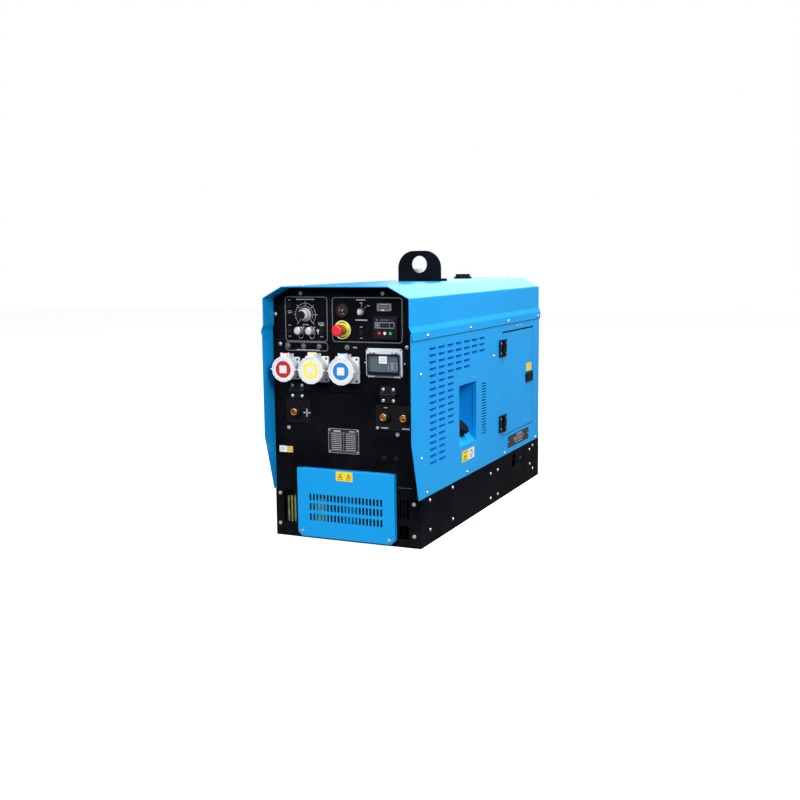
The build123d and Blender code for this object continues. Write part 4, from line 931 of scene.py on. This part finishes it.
def rocker_frames():
    """The rockers' frames, with their wells and the switch bodies behind."""
    shape = Shape(panel_face)
    for at in ROCKERS:
        well, sleeve = around(at, 5.7, 8.7), rect(*around(at, 6.5, 9.5))
        shape.tube(rounded(*around(at, 8.5, 11.5), 3), rounded(*well, 0.8), 0.1, 2.5)
        shape.tube(sleeve, rect(*well), -6, 0.2)
        shape.prism([sleeve], -22, -6)
    return shape.piece("rocker_frames", "black_plastic", PANEL, "black_plastic", bevel=0.4)


LENS_R = 6.25


def lamps():
    """The lamps' bezels and domed lenses."""
    bezels, glass = Shape(panel_face), Shape(panel_face)
    dome_line = [(LENS_R * math.cos(a), 1.2 + 4.4 * math.sin(a)) for a in (0, 0.3, 0.6, 0.9, 1.2, 1.45)]
    for at in LAMPS:
        bezels.washer(at, 8.5, 6.3, 0.1, 2.2, 32)
        bezels.prism([circle(*at, 6.0, 24)], -18, 0.2)
        glass.turned(at, [(LENS_R, 0.2)] + dome_line, 28)
    glass.piece("lamp_lenses", "lamp_glass", PANEL, smooth=60)
    return bezels.piece("lamp_bezels", "meter_grey", PANEL, bevel=0.3)


for build in (gauge, hour_meter, controller, key_switch, emergency_stop, rocker_frames, lamps):
    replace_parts(build(), "instrument_bodies")

SKIRT = ((14.6, 1.2), (23.4, 1.2), (23.4, 2.0), (22.4, 5.0), (20.2, 8.6), (17.5, 9.4), (14.8, 9.4))
Shape(panel_face).turned(KNOB, SKIRT, 56).piece("dial_skirt", "cap_silver", "dial", "nickel", smooth=25)
skirt_top = panel(SKIRT[-1][1])
ring = Shape(skirt_top).washer(KNOB, 19.6, 16.9, -0.2, 0.25, 48)
ring.piece("dial_skirt_ring", "meter_grey", "dial")
sleeve = Shape(skirt_top).washer(KNOB, 16.2, 14.3, 0, 20, 48)
# The silver sleeve is drawn in bright white: its silver colour with a painted highlight all round.
sleeve.piece("dial_sleeve", "print_bright", "dial", "nickel", bevel=0.6)
pointer = Shape(skirt_top).prism([stroke(KNOB[0], KNOB[1] + 15.5, KNOB[0], KNOB[1] + 20, 1.4)], 0, 0.2)
pointer.piece("dial_pointer", "label_black", "dial")

# -------- screws and marks of the control panel

CAPTIVE = ((-160, 846), (146, 846), (-259.5, 774), (-243, 672), (231, 671))
heads("captive_screw_caps", panel_face, CAPTIVE, 7.2, 4.9, PANEL)
heads("breaker_frame_screws", panel_face, [(79.5, 617), (222.5, 617)], 3.4, 2.6, PANEL)
hinge_face = panel(2.5)
upper = [(-198.2, 532), (-161.2, 532), (144.5, 530), (181.5, 530)]
lower = [(-198.2, 495.6), (-161.2, 495.6), (144.5, 493), (181.5, 493)]
heads("upper_hinge_screws", hinge_face, upper, 6.0, 2.6, PANEL)
heads("lower_hinge_screws", hinge_face, lower, 6.0, 2.6, "root")
glints = [stroke(x - 28, 518.9, x + 28, 518.9, 0.7) for x in (-181.5, 161.5)]
printed("panel_hinge_glint", hinge_face, glints, PANEL, "print_grey")

# -------- power sockets

SOCKET_Z = 590.5
SOCKETS = (("red", -204.0, 76.0, 44.0, "red_print"), ("yellow", -99.0, 88.0, 47.5, "yellow_plastic"),
           ("blue", 14.5, 89.0, 47.5, "blue_disc"))
HUB_FRONT = 53.1
LID_DISC = ((29, HUB_FRONT - 0.4), (29, HUB_FRONT + 0.4), (28.4, HUB_FRONT + 0.8), (22, HUB_FRONT + 0.8))
CARRIER_FRONT = 30.0
PINS = (0.5, 2.6, 4.7)
CONTACTS = (0.5, 1.76, 3.0, 4.3, 5.5)


def lid_trim(name, at, lid_r, finish):
    """The coloured disc, label, marks and tab of a socket's lid."""
    x, z = at
    lid = f"{name}_lid"
    disc = Shape(panel_face).turned(at, LID_DISC, 56)
    disc.piece(f"{name}_lid_disc", finish, lid, smooth=25)
    label = Shape(panel_face).prism([rounded(*around(at, 13.5, 13), 2.5)], HUB_FRONT + 0.7, HUB_FRONT + 1.0)
    label.piece(f"{name}_lid_label", "label_white", lid)
    marks = circles(at, 6.5, PINS, 1.1, 16) + [arc(x, z, 9.6, 10.2, 0, 360, 40)]
    printed(f"{name}_lid_marks", front(FRONT - HUB_FRONT - 1.0), marks, lid)
    shell = arc(FRONT - 37, z + lid_r + 7, 4.05, 4.75, 10, 250, 30)
    Shape(right(x)).prism([shell], -11.4, 11.4).piece(f"{name}_lid_tab", finish, lid)


def socket_trim(name, x, side, lid_r, finish):
    """What a power socket shows besides its CAD solids."""
    at = (x, SOCKET_Z)
    lid_trim(name, at, lid_r, finish)
    reach = side / 2 - 8
    corners = [(x + a * reach, SOCKET_Z + b * reach) for a in (-1, 1) for b in (-1, 1)]
    heads(f"{name}_socket_screws", front(SOCKET_FLANGE_FRONT), corners, 4.6, 1.8, PANEL, "steel_grey")
    seal = Shape(panel_face).washer(at, lid_r - 4.2, lid_r - 9.9, 40.0, 41.2, 48)
    seal.piece(f"{name}_socket_seal", "neck_rubber", PANEL, "neck_rubber")
    insert = Shape(panel_face).prism([circle(*at, lid_r - 15, 48)], 2.2, CARRIER_FRONT)
    insert.piece(f"{name}_contact_carrier", finish, PANEL, bevel=1.2)
    holes = circles(at, 17, CONTACTS, 4.2, 20)
    printed(f"{name}_contact_holes", panel(CARRIER_FRONT), holes, PANEL, "label_black")


for socket in SOCKETS:
    socket_trim(*socket)

# -------- circuit breaker

WINDOW = (92.5, 209.5, 578.0, 648.0)
WINDOW_FRONT = 16.0
BREAKER_FRONT = 8
CLASP_X = (111, 191)
DARK = "black_plastic"
FLAP = "flap"
sunk = WINDOW_FRONT - 0.1
edge = Shape(panel_face).tube(inset(*WINDOW, 3, 0.2), inset(*WINDOW, 3, 5.5), sunk, WINDOW_FRONT + 0.4)
edge.prism([rounded(93, 209, 578.5, 590, 2), rounded(93, 99, 588, 646, 1)], sunk, WINDOW_FRONT + 0.6)
edge.piece("window_border", DARK, FLAP, DARK)
ribs = [rect(93.1, 95.1, 583 + 7.6 * i, 587 + 7.6 * i) for i in range(8)]
printed("window_ribs", front(FRONT - WINDOW_FRONT - 0.4), ribs, FLAP, "hinge_black", 0.8)
outlines = [rounded(x - 8, x + 8, 578.5, 588, 1.5) for x in CLASP_X]
clasps = Shape(panel_face).prism(outlines, WINDOW_FRONT - 0.2, WINDOW_FRONT + 2.6)
clasps.piece("window_clasps", DARK, FLAP, DARK, bevel=0.6)
outlines = [rounded(x + s * 6.8 - 2.6, x + s * 6.8 + 2.6, 641, 647.6, 1) for x in CLASP_X for s in (-1, 1)]
hinge_caps = Shape(panel_face).prism(outlines, WINDOW_FRONT - 0.3, WINDOW_FRONT + 1.4)
hinge_caps.piece("window_hinge_caps", DARK, FLAP, DARK, bevel=0.4)

recess = Shape(panel_face).tube(rect(96.4, 205.6, 584.2, 641.8), rect(99, 203, 588.5, 637.5), -1.0, 7.6)
recess.piece("breaker_recess", DARK, PANEL, DARK)
outlines = [rect(98.6, 130.6, 589.4, 636.6), rect(131.4, 163.4, 589.4, 636.6),
            rect(164.2, 203.4, 620, 636.6), rect(164.2, 203.4, 589.4, 594.4)]
faces = Shape(panel_face).prism(outlines, 3.9, 4.6)
faces.piece("breaker_faces", "breaker_face", PANEL, "grey_plastic", bevel=0.25)
LABEL = (137, 166, 617, 641)
sticker("window_label", front(FRONT - WINDOW_FRONT - 0.1), rounded(*LABEL, 1), FLAP, "label_white")
lines = [stroke(LABEL[0] + 4, LABEL[2] + up, LABEL[1] - 4, LABEL[2] + up, 1.2) for up in (7, 12, 17)]
printed("window_label_marks", front(FRONT - WINDOW_FRONT - 0.1 - STICKER), lines, FLAP, "print_grey")
low_rib = Shape(panel(BREAKER_FRONT)).prism([rounded(116, 188, 570.8, 576.8, 2)], -0.1, 0.5)
low_rib.piece("breaker_frame_low_rib", "breaker_face", PANEL, bevel=0.3)
corners = [(91, 661), (212.5, 661), (91, 574), (212.5, 574)]
heads("breaker_corner_screws", panel(BREAKER_FRONT), corners, 2.6, 1.0, PANEL, "steel_grey")

# -------- remote sockets

REMOTE_CAP_FACE = ((9.4, -0.1), (9.4, 0.5), (8.6, 0.9), (3, 0.9))
for x, z, side in REMOTE_AT:
    corners = [(x + a * 10.4, z + b * 10.4) for a in (-1, 1) for b in (-1, 1)]
    heads(f"{side}_remote_flange_screws", panel(3), corners, 2.4, 1.5, PANEL)
    hub = Shape(panel(REMOTE_CAP_FRONT)).turned((x, z), REMOTE_CAP_FACE, 30)
    hub.piece(f"{side}_cap_face", "cap_silver", f"{side}_cap", "nickel")

# -------- lower front panel

WELD = ((-183.0, 442.0), (153.0, 440.0), (225.0, 439.0))
plate_face = front(PLATE_FRONT)
signs = [stroke(-156.5, 439, -128.5, 439, 3.6), stroke(-142.5, 425, -142.5, 453, 3.6),
         stroke(137, 402, 163, 402, 3.6), stroke(213, 402, 240, 402, 3.6), *dashes(154, 470, (3, 4, 3), 3)]
printed("weld_plate_signs", plate_face, signs, "root")
corners = [(-217, 476), (-134, 476), (-217, 409), (-134, 409), (123, 471), (258, 471), (258, 400)]
heads("weld_plate_screws", plate_face, corners, 3.6, 1.8, "root", DARK)
heads("earth_screw", plate_face, [(124, 401)], 6.2, 5.0, "root")
for index, at in enumerate(WELD, 1):
    nut = Shape(panel(17)).washer(at, 17.5, 12.9, -0.2, 1.2, 36)
    nut.piece(f"weld_collar_ring_{index}", DARK, "root", DARK, bevel=0.4)
    bore = Shape(panel(26)).washer(at, 10.6, 8.4, -0.1, 0.5, 36)
    bore.piece(f"weld_bore_ring_{index}", "brass", "root", "brass")

heads("blanking_plugs", panel_face, [(143, 297), (189, 298)], 11, 4.2, "root", DARK, DARK)

RATING = (-65.0, 53.0, 304.0, 391.0)
rating = Shape(panel_face).prism([rounded(*RATING, 4)], 0, 0.8)
rating.piece("rating_plate", "engraved_plate", "root", bevel=0.2)
rating_face = panel(0.8)
heads("rating_plate_rivets", rating_face, [(-58, 384), (46, 384), (-58, 311), (46, 311)], 2.8, 1.2, "root")
rating_border = Shape(rating_face).tube(inset(*RATING, 4, 1.6), inset(*RATING, 4, 2.6), 0, PRINT)
rating_border.piece("rating_plate_border", "print_white", "root", smooth=20)
lines = []
for row in range(9):
    v = 317.5 + row * 6.6
    lines += text((-33, v, (7 + row % 3, 11, 8 - row % 2, 9), 2.2), (21, v, (9, 6 + row % 3, 10, 7), 2.2))
lines += text((-30, 381, (26,), 5), (26, 381, (6, 8, 5), 3.6))
lines += [stroke(-60, 375.5, 48, 375.5, 0.7), stroke(-6, 312, -6, 375, 0.7), stroke(-60, 313, 48, 313, 0.7)]
printed("rating_plate_print", rating_face, lines, "root")

sticker("lower_sticker_white", panel_face, rounded(-257, -228, 296, 318, 2), "root", "label_white")
sticker("lower_sticker_gold", panel_face, rounded(-227.5, -204, 296, 318, 2), "root", "label_gold")
words = text((-243, 310, (8, 6), 2), (-243, 304, (5, 9), 2),
             (-216, 311, (6, 5), 2.2), (-216, 304, (5, 7), 2.2))
printed("lower_sticker_marks", panel(STICKER), words, "root", "print_grey")

grille_sticker_face = front(GRILLE - STICKER)
sticker("grille_label", front(GRILLE), rounded(-29.0, 34.0, 213.0, 245.0, 2), "root")
signs = []
for side, u in (("left", -12.0), ("right", 18.0)):
    shape = Shape(grille_sticker_face).tube(*triangle(u, 224, 17), 0, PRINT)
    shape.piece(f"grille_label_sign_{side}", "label_black", "root")
    signs += [stroke(u, 228, u, 233, 1.4)]
signs += text((-12, 218.5, (5, 4, 6), 1.8), (18, 218.5, (6, 5, 4), 1.8))
printed("grille_label_marks", grille_sticker_face, signs, "root", "label_black")
LIP = ((1, 245), (15, 245), (15, 250), (13, 250), (1.6, 249.4))
lip = Shape(right(0)).prism([[(GRILLE + y, z) for y, z in LIP]], -158.5, 168.5)
lip.piece("grille_cover_lip", "blue_paint", "root", "blue_paint", bevel=0.4)
baffle = Shape(front(FRONT + 60)).prism([rect(-45, 95, 50, 172)], 0, 2)
baffle.piece("air_baffle", "blue_paint", "root", "blue_paint")
printed("base_seam_glint", panel_face, [stroke(192, 202.6, 246, 202.6, 1.0)], "root", "print_grey")

# -------- inside: the fan belt

# Height and radius of each pulley
CRANK = (370.0, 60.0)
FAN = (520.0, 50.0)
BELT_Y = 447


def belt_outline(grow):
    """The line of an open belt round both pulleys, standing off by grow."""
    tilt = math.asin((CRANK[1] - FAN[1]) / (FAN[0] - CRANK[0]))
    low = [math.pi - tilt + (math.pi + 2 * tilt) * i / 24 for i in range(25)]
    high = [tilt + (math.pi - 2 * tilt) * i / 24 for i in range(25)]
    return [((r + grow) * math.cos(t), z + (r + grow) * math.sin(t))
            for (z, r), turns in ((CRANK, low), (FAN, high)) for t in turns]


belt = Shape(front(BELT_Y)).tube(belt_outline(2.5), belt_outline(-3.5), 0, 10)
belt.piece("fan_belt", "neck_rubber", "root", "neck_rubber")
